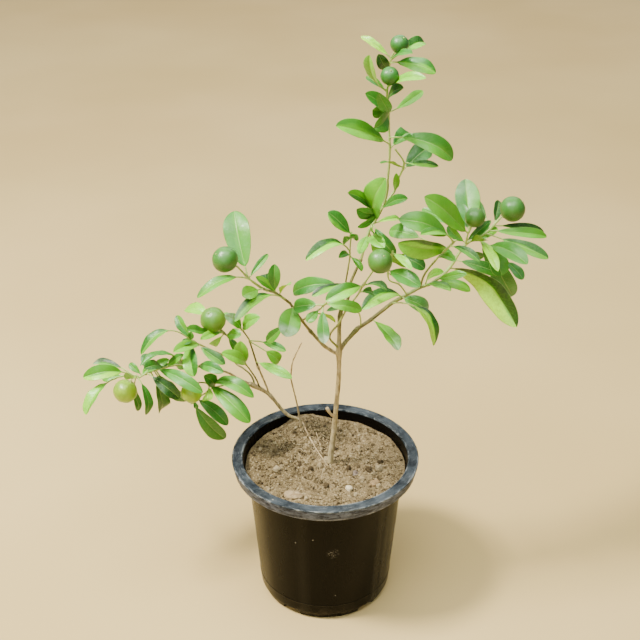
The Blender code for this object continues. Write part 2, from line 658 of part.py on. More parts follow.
def stone_mesh(place, size, turn, grow=0.0):
    """Return a rounded stone, with lumps that follow a wave."""
    shape = bmesh.new()
    bmesh.ops.create_icosphere(shape, subdivisions=2, radius=1.0)
    for corner in shape.verts:
        x, y, z = corner.co
        corner.co *= 1 + 0.10 * math.sin(3 * x + place[0]) * math.cos(2 * y + z)
    half = [length * MM / 2 + grow for length in size]
    bmesh.ops.scale(shape, verts=shape.verts, vec=half)
    angle = math.radians(turn)
    for corner in shape.verts:
        x, y, z = corner.co
        corner.co.x = x * math.cos(angle) - y * math.sin(angle) + place[0] * MM
        corner.co.y = x * math.sin(angle) + y * math.cos(angle) + place[1] * MM
        corner.co.z = z + place[2] * MM
    mesh = bpy.data.meshes.new("stone")
    shape.to_mesh(mesh)
    shape.free()
    return mesh


def make_stones():
    """The loose stones that lie half sunk in the soil; return their holes."""
    holes = []
    for name, (place, size, turn) in STONES.items():
        add_part(name, stone_mesh(place, size, turn), "stone")
        holes.append(stone_mesh(place, size, turn, GAP))
    return holes


def clear_tube(route, radius_foot, radius_tip, sides=1):
    """Return the room that a stem needs: it is wider and longer than the stem by GAP."""
    points = smooth_route(route)
    points[0] += (points[0] - points[1]).normalized() * GAP
    points[-1] += (points[-1] - points[-2]).normalized() * GAP
    return tube(points, radius_foot * MM + GAP * 1.2, radius_tip * MM + GAP * 1.2, sides)


def parent_room(name):
    """Return the room of the stem or shoot that another piece grows from."""
    if name in STEMS:
        _, route, foot, tip = STEMS[name]
        return clear_tube(route, foot, tip, 2)
    _, _, route, foot, tip, _ = SHOOTS[name]
    return clear_tube(route, foot, tip)


def make_stems():
    """The bare stems; return the holes of those that stand in the soil."""
    holes = []
    for name, (parent, route, foot, tip) in STEMS.items():
        mesh = tube(smooth_route(route), foot * MM, tip * MM, 2)
        if name == "trunk":
            stub_route, stub_foot, stub_tip = STUB
            stub = tube([spot(*place) for place in stub_route], stub_foot * MM, stub_tip * MM)
            mesh = combine(mesh, [stub], "UNION")
        if parent:
            mesh = combine(mesh, [parent_room(parent)], "DIFFERENCE")
        else:
            holes.append(clear_tube(route, foot, tip, 2))
        thing = add_part(name, tidy(mesh), "dry_wood" if name == "dry_twig" else "bark")
        thing.data.shade_smooth()
    return holes


def make_shoots():
    """The leafy shoots: each is a twig with its leaves and its fruit's stalk, grown as one piece."""
    for name, (parent, fruit, route, foot, tip, leaves) in SHOOTS.items():
        points = smooth_route(route)
        twig = list(points)
        if fruit:
            twig.append(spot(*FRUITS[fruit][0]))
        blades = [
            leaf(along_route(points, share), spot(x, height, back), width, *rest)
            for share, x, height, back, width, *rest in leaves
        ]
        mesh = combine(tube(twig, foot * MM, tip * MM), blades, "UNION")
        rooms = [parent_room(parent)]
        if fruit:
            centre, radius = FRUITS[fruit]
            rooms.append(ball(spot(*centre), radius * MM + GAP, 20, 14))
        mesh = combine(mesh, rooms, "DIFFERENCE")
        add_part(name, tidy(mesh), "green_leaf")


def make_fruits():
    """The unripe fruit."""
    for name, (centre, radius) in FRUITS.items():
        thing = add_part(name, ball(spot(*centre), radius * MM), "green_fruit")
        thing.data.shade_smooth()


make_pot()
soil_holes = make_stones() + make_stems()
make_soil(soil_holes)
make_shoots()
make_fruits()
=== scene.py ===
"""Looks for the potted china orange tree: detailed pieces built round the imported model.

Metres, +Z up, the front towards -Y, the origin at the centre of the pot's flat base. Stems, shoots
and leaves are set out in millimetres as (x, height, back) on an upright plane through the pot's
axis, as seen from EYE. `spot` slides such a point along the line of sight by `back`. The tables leave
out the `_shoot`, `fruit_` and `stone_` of a node's name.
"""

import json
import math

import bmesh
import bpy
import numpy as np
from mathutils import Matrix, Vector, noise

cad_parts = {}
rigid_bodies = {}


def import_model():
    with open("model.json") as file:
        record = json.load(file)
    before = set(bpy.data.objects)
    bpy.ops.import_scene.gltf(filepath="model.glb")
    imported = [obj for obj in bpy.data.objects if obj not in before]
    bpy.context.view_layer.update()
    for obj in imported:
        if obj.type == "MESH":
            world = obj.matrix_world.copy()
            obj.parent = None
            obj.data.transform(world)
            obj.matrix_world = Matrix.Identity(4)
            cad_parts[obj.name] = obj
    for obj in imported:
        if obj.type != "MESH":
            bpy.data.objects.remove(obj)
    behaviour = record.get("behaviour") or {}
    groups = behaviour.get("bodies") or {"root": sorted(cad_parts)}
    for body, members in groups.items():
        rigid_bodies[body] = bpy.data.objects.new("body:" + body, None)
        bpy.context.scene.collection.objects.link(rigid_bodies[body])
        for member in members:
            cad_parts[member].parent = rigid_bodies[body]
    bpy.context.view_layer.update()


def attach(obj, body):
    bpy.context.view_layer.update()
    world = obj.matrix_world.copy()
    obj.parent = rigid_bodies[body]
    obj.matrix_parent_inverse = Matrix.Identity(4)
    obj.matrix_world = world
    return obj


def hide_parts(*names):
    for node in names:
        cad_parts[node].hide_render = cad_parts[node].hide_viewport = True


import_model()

MM = 0.001

# The pot
POT_HEIGHT = 0.172
RIM_RADIUS = 0.1025
RIM_INNER_RADIUS = 0.0898
LIP_HEIGHT = 0.013
LIP_LOWER_RADIUS = 0.099
WALL = 0.002
BODY_TOP_RADIUS = 0.0854
BODY_LOW_RADIUS = 0.0735
FOOT_RADIUS = 0.070
FOOT_HEIGHT = 0.008
FLOOR_THICKNESS = 0.003
BEAD_DROP = 0.024
BEAD_PROUD = 0.0006
SHOULDER_RADIUS = 0.0900
SHOULDER_HEIGHT = 0.1545
SHOULDER_FOOT = SHOULDER_HEIGHT - 0.0035
LOW_LINE = 0.021
NOTCH_COUNT = 5
NOTCH_WIDTH = 0.021
NOTCH_HEIGHT = 0.0075
NOTCH_BELOW = 0.004
NOTCH_REACH = (FOOT_RADIUS - 0.006, FOOT_RADIUS + 0.014)
NOTCH_TURN = math.radians(4)
POT_COLUMNS = 160
POT_SHARP = math.radians(40)

# A dried splash and a pale chip on the pot's front
SPLASH = (0.008, -0.078, 0.100)
SPLASH_REACH = 0.0085
CHIP = (-0.013, -0.0797, 0.119)

# Faint upright streaks on the pot's wall, painted reflections of the lit floor: angle about the axis, half
# width in degrees, strength
REFLECTION_STREAKS = ((-150, 12, 0.30), (-108, 8, 0.10), (-43, 6, 0.30), (-34, 5, 0.35))

# The soil
SOIL_TOP = 0.159
SOIL_MOUND = 0.011
SOIL_MOUND_PLACE = (-0.019, 0.071)
SOIL_MOUND_REACH = 0.026
SOIL_LUMP = 0.0015
SOIL_RINGS = 100
SOIL_COLUMNS = 380
SOIL_EDGE = SHOULDER_RADIUS - WALL - 0.0004
SOIL_FOOT = FLOOR_THICKNESS + 0.0003
SOIL_GAP = 0.0006
SOIL_RELIEF = 0.0034
# Where the soil is darkened by a painted shadow, towards the pot's left side
SOIL_SHADOW = (-0.075, -0.005, 0.158)
# Where the soil is broken open: place and reach
BROKEN_SOIL = (-0.018, 0.030)
BROKEN_REACH = 0.024

# Loose crumbs: how many, the smallest radius, its spread, the largest, and how finely they are shaped
CRUMBS = {
    "soil_grains": (9000, 0.00062, 0.00030, 0.0016, 1),
    "soil_lumps": (300, 0.0014, 0.0010, 0.0042, 3),
}
CRUMB_EDGE = SHOULDER_RADIUS - WALL - 0.0012
CRUMB_PATTERNS = 14
CRUMB_SEED = 41
STONE_DETAIL = 4

# Dry roots on the soil: (x, y, height above the soil) in millimetres, and the radius
STRAWS = (
    (((-26, 66, 1), (-19, 48, 0.8), (-10, 26, 1.0), (-3, 8, 0.8), (3, -6, 0.3)), 0.8),
    (((-10, 52, 0.6), (-6, 34, 0.9), (-4, 20, 0.5)), 0.4),
    (((2, -4, 0.6), (-3, -16, 0.7), (-4, -30, 0.3)), 0.4),
)

# Stones on the soil: place and lengths along X, Y and Z in millimetres, turn about Z in degrees, and
# the dark and the light colour
STONES = {
    "pale": ((25, -46, 160), (8, 7, 7), 20, (0.60, 0.49, 0.30), (0.86, 0.76, 0.54)),
    "tan_large": ((-34, -57, 159), (23, 14, 9), -12, (0.25, 0.17, 0.085), (0.44, 0.33, 0.19)),
    "tan_small": ((53, -37, 160), (13, 9, 8), 30, (0.26, 0.165, 0.075), (0.42, 0.29, 0.15)),
    "grey": ((32, -20, 160), (10, 8, 7), 0, (0.070, 0.040, 0.030), (0.42, 0.34, 0.27)),
}

# The plant
EYE = np.array((-0.006, -0.989, 0.875))
# How many millimetres deeper a point lies for each one of `back`
DEEPER = 1.5
# How many steps a smooth row takes from one point of a route to the next: for placing, and for shapes
ROUTE_STEPS = 2
STEM_STEPS = 8
STEM_COLUMNS = 20
TWIG_COLUMNS = 12
BLADE_STATIONS = 26
STALK_STATIONS = 6
LEAF_COLUMNS = np.array([-1, -.95, -.82, -.62, -.40, -.20, -.07, 0, .07, .20, .40, .62, .82, .95, 1])
LEAF_THICKNESS = 0.00035
STALK_HALF = 0.00075
MIDRIB_WIDTH = 0.0006
MIDRIB_KEEL = 0.00055
MIDRIB_GROOVE = 0.00012
# A leaf's blade is this much wider than its visible width, because it is folded
SPREAD = 1.15
# How far a leaf's midrib bows up, and how much of it is stalk, where its row doesn't say
BOW = 0.08
STALK = 0.16
# How far a shoot's foot is sunk into what it grows from, as a share of its radius
SUNK = 0.8
# Swellings of a stem where another grows from it, and of a twig where a leaf does: radius and reach
STEM_KNOT = (0.00055, 0.006)
LEAF_KNOT = (0.00028, 0.03)
STEM_LUMP = 0.00035
TWIG_LUMP = 0.00012
YOUNGEST = 0.9
LEAF_BUD = 0.0024
TIP_BUD = 0.0036
USUAL_TONE = 0.42
FRUIT_STATIONS = 40
FRUIT_COLUMNS = 56
FRUIT_HEIGHT = 0.965
SEPALS = 5
# The materials of a shoot, in the order in which its mesh holds them
TOP, UNDER, TWIG = range(3)
# The ways that a leaf's upper face can look: up, to the front, to the back, left and right
TOWARDS = {"U": (0, 0, 1), "F": (0, -1, 0), "B": (0, 1, 0), "L": (-1, 0, 0), "R": (1, 0, 0)}

# Fruit: centre on the set-out plane, radius, and how ripe it is
FRUITS = {
    "top": ((66, 621, 5), 8.6, 0), "below_top": ((58, 592, -8), 8.5, 0),
    "right_outer": ((181, 461, 46), 13.4, .08), "right_inner": ((145, 452, 34), 10.5, .12),
    "middle": ((54, 405, -34), 11.8, .14), "left_upper": ((-100, 407, -40), 12.3, .08),
    "left_lower": ((-115, 339, 38), 13.9, .3), "far_left": ((-212, 253, 16), 13.1, .95),
    "low_left": ((-142, 251, 14), 11.5, 1.5),
}

# Bare stems: what each grows from, its radius at the foot and at the tip, the heights between which
# its wood turns from old to young, and its route
STEMS = {
    "trunk": (None, 3.3, 1.4, (285, 345), ((3, 128, 0), (5, 157, 0), (9, 200, 0), (12, 240, 0),
        (14, 268, 0), (14, 305, 0), (15, 346, 2), (22, 361, 5), (25, 381, 8), (35, 407, 10))),
    "left_branch": ("trunk", 1.9, 1.5, (295, 335), ((13, 298, 0), (0, 307, -3), (-8, 316, -6),
        (-16, 326, -8))),
    "right_branch": ("trunk", 2.3, 2.1, (290, 320), ((14, 301, 0), (20, 312, 4), (33, 329, 8))),
    "second_stem": (None, 2.2, 1.7, (260, 400), ((-20, 182, 46), (-26, 213, 48), (-39, 222, 48),
        (-48, 232, 47), (-59, 248, 45), (-69, 256, 44), (-80, 262, 43))),
    "second_upper_stem": ("second_stem", 1.1, 1, (235, 300), ((-59, 248, 45), (-64, 264, 44),
        (-71, 284, 42))),
    "far_left_stem": ("second_stem", 1.4, 1.2, (240, 300), ((-80, 262, 43), (-92, 269, 41), (-105, 277, 38),
        (-130, 283, 32))),
    "dry_twig": (None, 1.2, .7, (2000, 3000), ((-23, 184, 40), (-27, 214, 40), (-31, 241, 39),
        (-36, 266, 38), (-36, 275, 37), (-34, 290, 35), (-25, 312, 32))),
}

# A short broken stub on the trunk: its radius at the foot and at the tip, and its route
STUB = (1.7, 1.4, ((9, 221, 0), (5, 225, -3), (2, 231, -4)))

# Leafy shoots: what each grows from, the fruit at its tip, its radius at the foot and at the tip, its
# route and its leaves. A leaf is how far along the route it starts, its tip (x, height, back), its
# width, the way its upper face looks, and, where they differ from BOW and STALK, how far its midrib
# bows up and how much of it is stalk.
SHOOTS = {
    "left_low": ("left_branch", None, 1.5, 1.3, ((-16, 326, -8), (-26, 341, -12), (-36, 358, -15)), (
        (.88, -41, 319, -34, 20, "F", .06, .06), (.7, -61, 313, -5, 10, "UF", .02, .45),
        (.4, -34, 329, 8, 9, "U"))),
    "left_inner": ("left_low", None, 1, .8, ((-24, 338, -11), (-14, 345, -18), (-5, 352, -24),
        (0, 358, -28)), (
        (.9, -32, 353, -20, 14, "UF", .06, .25), (.6, -19, 336, -32, 9, "UF"),
        (.8, -1, 311, -40, 11, "F", .06), (.95, 37, 350, -28, 11, "UF", .15, .08),
        (.4, 10, 336, -10, 6, "UB"))),
    "left_mid": ("left_low", None, 1.3, 1.2, ((-36, 358, -15), (-43, 364, -20), (-51, 370, -24),
        (-60, 373, -28)), (
        (.98, -60, 391, -15, 14, "F", .05), (.65, -51, 402, -26, 11, "F"), (.5, -36, 379, -32, 10, "U"),
        (.15, -93, 337, -46, 11, "UUF", .24, .38))),
    "left_tip": ("left_mid", "left_upper", 1.2, .9, ((-60, 373, -28), (-68, 378, -30), (-76, 385, -32),
        (-88, 399, -36)), (
        (.72, -89, 459, -2, 23, "F", .03, .16), (.7, -57, 413, -20, 6, "UF", .04, .12),
        (.3, -130, 364, -54, 11, "UUF", .26, .46), (.12, -84, 366, -42, 13, "UF", .02, .3))),
    "middle_twig": ("trunk", "middle", 1.2, .8, ((14, 305, 0), (4, 319, -8), (13, 334, -13), (22, 352, -16),
        (32, 367, -18), (37, 377, -20), (44, 389, -24), (49, 397, -28)), (
        (.72, 0, 361, -38, 14, "UF", .2, .12), (.72, 62, 373, -30, 12, "U", .13),
        (.62, 48, 368, -2, 9, "UF", .05))),
    "inner_left_low": ("trunk", None, 1, .8, ((15, 346, 2), (19, 369, 0), (20, 381, -2), (22, 395, -5),
        (24, 410, -8)), (
        (.45, -33, 370, 8, 16, "UF", .2), (.5, -14, 366, -12, 9, "UUF", .06, .12))),
    "inner_left_top": ("inner_left_low", None, .8, .7, ((24, 410, -8), (24, 419, -10), (25, 435, -14)), (
        (.97, 2, 458, -18, 13, "UF", .06, .1), (.9, 18, 432, -28, 10, "F"), (.9, 31, 434, -20, 9, "F"),
        (.3, -20, 406, -32, 12, "UUF", .27, .26), (.05, 36, 394, -16, 8, "U"),
        (.05, 13, 409, -26, 7, "UF"))),
    "crown_low": ("trunk", None, 1.4, 1.3, ((35, 407, 10), (38, 420, 11), (43, 440, 13), (48, 449, 14)), (
        (.85, 74, 449, 30, 7, "UUF"), (.8, 55, 431, -12, 10, "F"), (.85, 69, 412, 2, 12, "F"),
        (.6, 58, 415, 18, 15, "F"), (.5, 58, 420, -14, 12, "UF"), (.55, 33, 413, -12, 9, "UF"))),
    "crown_mid": ("crown_low", None, 1.3, 1.2, ((48, 449, 14), (56, 466, 12), (59, 480, 10),
        (59, 492, 8)), (
        (.06, 57, 493, -14, 24, "FL", .12, .1), (.22, 79, 472, -6, 10, "UF", .04, .15),
        (.14, 21, 478, -16, 12, "UF", .02), (.16, 31, 442, -8, 7, "F", .05))),
    "crown_side": ("crown_mid", None, 1.1, .8, ((56, 466, 12), (66, 480, 16), (70, 494, 12), (74, 508, 6),
        (66, 521, 2)), (
        (.6, 97, 523, 26, 18, "UF"), (.75, 107, 505, -6, 7, "UF", .06), (.68, 52, 508, -20, 10, "U", -.02),
        (.25, 67, 498, 4, 6, "F", .05, .1))),
    "crown_high": ("crown_mid", None, 1.2, 1.1, ((59, 492, 8), (60, 507, 7), (60, 523, 6), (59, 538, 6)), (
        (.75, 9, 545, -16, 18, "UF", .07), (.65, 78, 538, 28, 15, "UF"),
        (.9, 120, 512, -2, 18, "UF", .22, .2))),
    "crown_node": ("crown_high", None, 1.1, 1, ((59, 538, 6), (58, 552, 6), (57, 563, 6), (56, 575, 6)), (
        (.8, 71, 581, -10, 12, "UF"), (.5, 89, 578, 20, 9, "UF", -.08, .25), (.35, 36, 576, -10, 13, "UF"),
        (.5, 48, 576, -24, 10, "F"), (.45, 45, 542, -14, 15, "F"), (.38, 48, 541, 18, 11, "F"))),
    "top_fruit": ("crown_node", "below_top", .9, .8, ((56, 572, 6), (56, 580, 0), (57, 586, -4)), (
        (.4, 39, 611, -21, 13, "FL", .1, .3), (.6, 91, 590, -24, 9, "UF"), (.3, 36, 591, 6, 6, "UF"))),
    "top": ("crown_node", "top", 1, .8, ((56, 575, 6), (57, 592, 10), (58, 606, 10), (61, 613, 8)), (
        (.78, 31, 628, 16, 7, "UF"), (.45, 47, 612, 0, 10, "F"), (.68, 88, 623, 22, 12, "UF", .15, .3),
        (.66, 78, 613, -12, 8, "UF"), (.62, 100, 595, -4, 14, "UF", .15, .2))),
    "right_base": ("right_branch", None, 2.1, 2, ((33, 329, 8), (45, 338, 11), (56, 348, 15)), (
        (.12, 1, 349, -22, 7, "UUF", .2, .45), (.6, 76, 303, -6, 16, "FR", .05, .12))),
    "right_low": ("right_base", None, 2, 1.9, ((56, 348, 15), (67, 358, 18), (79, 366, 22)), (
        (.92, 37, 351, -6, 16, "UUF", .2, .06), (.9, 104, 349, 14, 15, "UF", .16, .12),
        (.5, 112, 308, -6, 16, "UFR", .34, .38))),
    "right_mid": ("right_low", None, 1.9, 1.7, ((79, 366, 22), (95, 376, 28), (105, 380, 32),
        (114, 387, 35)), (
        (.45, 126, 372, 2, 11, "UUF", .08), (.6, 146, 372, 28, 12, "UUF", .1), (.5, 118, 393, 4, 10, "UF"),
        (.88, 141, 391, 18, 9, "UF"))),
    "middle_right": ("right_mid", None, .9, .7, ((82, 368, 23), (74, 379, 15), (64, 384, 8), (62, 395, 3),
        (63, 406, -2), (66, 415, -5)), (
        (.98, 86, 396, -26, 7, "UF"), (.9, 84, 399, 12, 13, "B"), (.95, 99, 397, -12, 12, "UF", .12, .3),
        (.6, 95, 377, -20, 15, "UF", .1, .12), (.55, 74, 381, -12, 7, "B"))),
    "right_upper": ("right_mid", None, 1.2, .9, ((95, 376, 28), (99, 391, 20), (112, 410, 11),
        (127, 427, 4)), (
        (.98, 71, 450, -14, 20, "UF", .12, .25), (.8, 62, 438, 30, 15, "UF", .1, .45),
        (.96, 93, 434, -24, 11, "UUF", .12), (.85, 71, 425, -16, 20, "F", .1, .08),
        (.9, 153, 405, -12, 8, "UF"), (.6, 129, 405, -18, 9, "UF"))),
    "right_fork": ("right_mid", None, 1.7, 1.4, ((114, 387, 35), (124, 399, 38), (135, 420, 40),
        (142, 427, 42)), (
        (.3, 196, 330, 22, 27, "FFL", -.28, .06), (.45, 174, 391, 34, 12, "UF"),
        (.88, 157, 428, 20, 11, "B"))),
    "right_fruit": ("right_fork", "right_inner", 1, .9, ((138, 423, 41), (139, 433, 36), (142, 442, 34)), (
        (.8, 133, 492, 66, 23, "F", -.08, .1), (.75, 129, 466, 54, 13, "F", -.08),
        (.6, 95, 474, 20, 21, "UF", .06, .1), (.65, 93, 461, 50, 10, "UF", .05, .3))),
    "right_tip": ("right_fork", "right_outer", 1.2, .9, ((142, 427, 42), (156, 435, 44), (171, 453, 46)), (
        (.8, 167, 470, 66, 10, "F", -.05), (.66, 130, 468, 82, 11, "U", .2), (.6, 217, 432, 44, 11, "UF"),
        (.75, 214, 436, 58, 9, "UF"), (.52, 221, 408, 24, 13, "UF", 0, .28))),
    "right_hanging": ("right_tip", None, .8, .7, ((149, 431, 43), (158, 424, 33), (170, 416, 29),
        (181, 402, 26)), (
        (.42, 201, 402, 0, 17, "UF", .12, .08), (.45, 176, 389, 20, 19, "UF", .1),
        (.9, 198, 385, 14, 10, "UF"), (.1, 172, 394, 4, 10, "UF", .05, .12),
        (.05, 189, 366, 60, 20, "F", 0, .1))),
    "second_leafy": ("second_upper_stem", None, 1, .9, ((-71, 284, 42), (-76, 304, 41), (-79, 316, 40)), (
        (.92, -41, 302, 22, 8, "UF", .1, .45), (.88, -48, 289, 40, 13, "UF", .12, .5),
        (.12, -35, 269, 18, 10, "UF", .1, .15))),
    "second_tip": ("second_leafy", None, .9, .7, ((-79, 316, 40), (-85, 326, 38), (-93, 333, 36)), (
        (.6, -103, 344, 18, 12, "UF"), (.8, -104, 347, 50, 7, "U"), (.5, -67, 342, 22, 14, "UF", .1, .2))),
    "second_inner": ("second_stem", None, 1, .8, ((-69, 256, 44), (-73, 268, 40), (-80, 281, 36),
        (-84, 287, 34)), (
        (.97, -88, 314, 24, 14, "F", .06, .12), (.93, -108, 300, 14, 13, "UF", .16))),
    "left_fruit": ("second_stem", "left_lower", 1.1, .8, ((-74, 259, 44), (-78, 272, 48), (-86, 281, 51),
        (-94, 288, 53), (-93, 303, 52), (-99, 317, 48), (-108, 327, 44)), (
        (.9, -87, 321, 36, 12, "UF"), (.95, -129, 316, 20, 8, "UF"), (.93, -118, 309, 60, 8, "F"),
        (.95, -142, 352, 64, 15, "UUF", .24, .45), (.94, -143, 328, 14, 10, "UF", -.1, .3),
        (.88, -92, 303, 44, 8, "UF", .12))),
    "far_upper": ("left_fruit", None, .9, .7, ((-94, 288, 53), (-108, 298, 50), (-123, 306, 46),
        (-141, 316, 40)), (
        (.97, -192, 298, 22, 13, "UUFL", .36, .45), (.92, -152, 344, 52, 10, "F"),
        (.95, -148, 310, 24, 8, "UF"), (.92, -105, 286, 26, 11, "UF", .02, .28),
        (.95, -138, 271, 12, 16, "F", .1, .2), (.97, -138, 325, 38, 7, "UF"),
        (.8, -158, 301, 16, 12, "UF", .1, .15))),
    "far_mid": ("far_left_stem", None, 1.2, 1.1, ((-130, 283, 32), (-145, 285, 28), (-158, 285, 25)), (
        (.12, -107, 276, 8, 11, "UF", .12), (.2, -159, 296, 52, 15, "F"), (.6, -187, 274, 48, 10, "UF", .2),
        (.5, -194, 284, 8, 11, "U", .2, .3))),
    "far_left": ("far_mid", None, 1.1, 1, ((-158, 285, 25), (-172, 281, 23), (-184, 277, 21),
        (-196, 270, 20)), (
        (.45, -130, 251, 0, 13, "UF", .15, .1), (.3, -190, 281, -2, 12, "UF", .1),
        (.55, -160, 257, 28, 14, "F", .1, .2), (.75, -155, 244, 10, 13, "UF", .2, .2),
        (.65, -177, 229, 30, 16, "FR", .12, .25), (.72, -186, 299, 34, 10, "F"),
        (.5, -148, 240, 40, 13, "F", .05, .2))),
    "far_tip": ("far_left", "far_left", 1, .9, ((-196, 270, 20), (-200, 272, 19), (-204, 268, 18)), (
        (.7, -255, 270, 0, 15, "UF", .24, .36), (.6, -243, 287, 32, 8, "UUF", .14, .3),
        (.4, -209, 276, -4, 9, "F"), (.55, -257, 223, -16, 16, "UFL", .22, .5),
        (.3, -192, 223, 12, 10, "FR", .2, .2), (.25, -200, 228, 32, 8, "FR", -.16, .5),
        (.6, -235, 268, 20, 9, "UF", .05, .4))),
    "low_left": ("second_stem", "low_left", 1.1, .8, ((-77, 260, 43), (-88, 260, 37), (-100, 262, 34),
        (-118, 258, 28), (-126, 263, 24), (-133, 264, 20)), (
        (.66, -76, 245, 6, 14, "UUF", .26, .14), (.68, -81, 213, 2, 17, "UF", .14, .06),
        (.6, -128, 272, 12, 13, "UF", .1), (.7, -127, 241, 4, 11, "F", .05))),
    "low_hanging": ("low_left", None, .9, .8, ((-118, 258, 28), (-128, 250, 32), (-138, 242, 35),
        (-142, 238, 36)), (
        (.62, -105, 210, 16, 14, "UF", .12, .1), (.92, -109, 192, 32, 18, "F", .1, .12),
        (.8, -137, 231, 34, 5, "UF", .05, .1))),
}

# Small leaves of a shoot beside those of its solid, written like them
FINE_LEAVES = {
    "crown_mid": ((.16, 30, 461, -12, 13, "F", .04, .1),),
    "crown_node": ((.62, 43, 560, -10, 13, "F", .04, .08),),
    "right_fruit": ((.1, 119, 443, 46, 9, "F"), (.2, 161, 449, 38, 8, "UF", .05, .1)),
    "right_fork": ((.8, 168, 441, 52, 9, "UF"), (.6, 157, 410, 46, 9, "F"),
        (.5, 107, 421, 44, 8, "UF", .06)),
    "far_left": ((.95, -181, 286, 28, 8, "UF"), (.85, -163, 292, 26, 8, "UF"), (.9, -205, 287, 26, 7, "UF"),
        (.4, -146, 268, 34, 9, "UF", .1, .2), (.2, -148, 298, 20, 8, "UF")),
    "low_left": ((.75, -123, 273, 34, 8, "UF", .05),),
    "left_mid": ((.6, -70, 388, -30, 7, "UF", .05),),
}

# How yellow the leaves of a shoot are, from 0 to 1
TONES = {
    "top": .62, "top_fruit": .66, "crown_node": .58, "crown_high": .5, "crown_mid": .55, "crown_side": .5,
    "left_tip": .35, "far_upper": .32, "far_left": .25, "far_tip": .3, "left_fruit": .3, "low_left": .3,
    "low_hanging": .28,
}
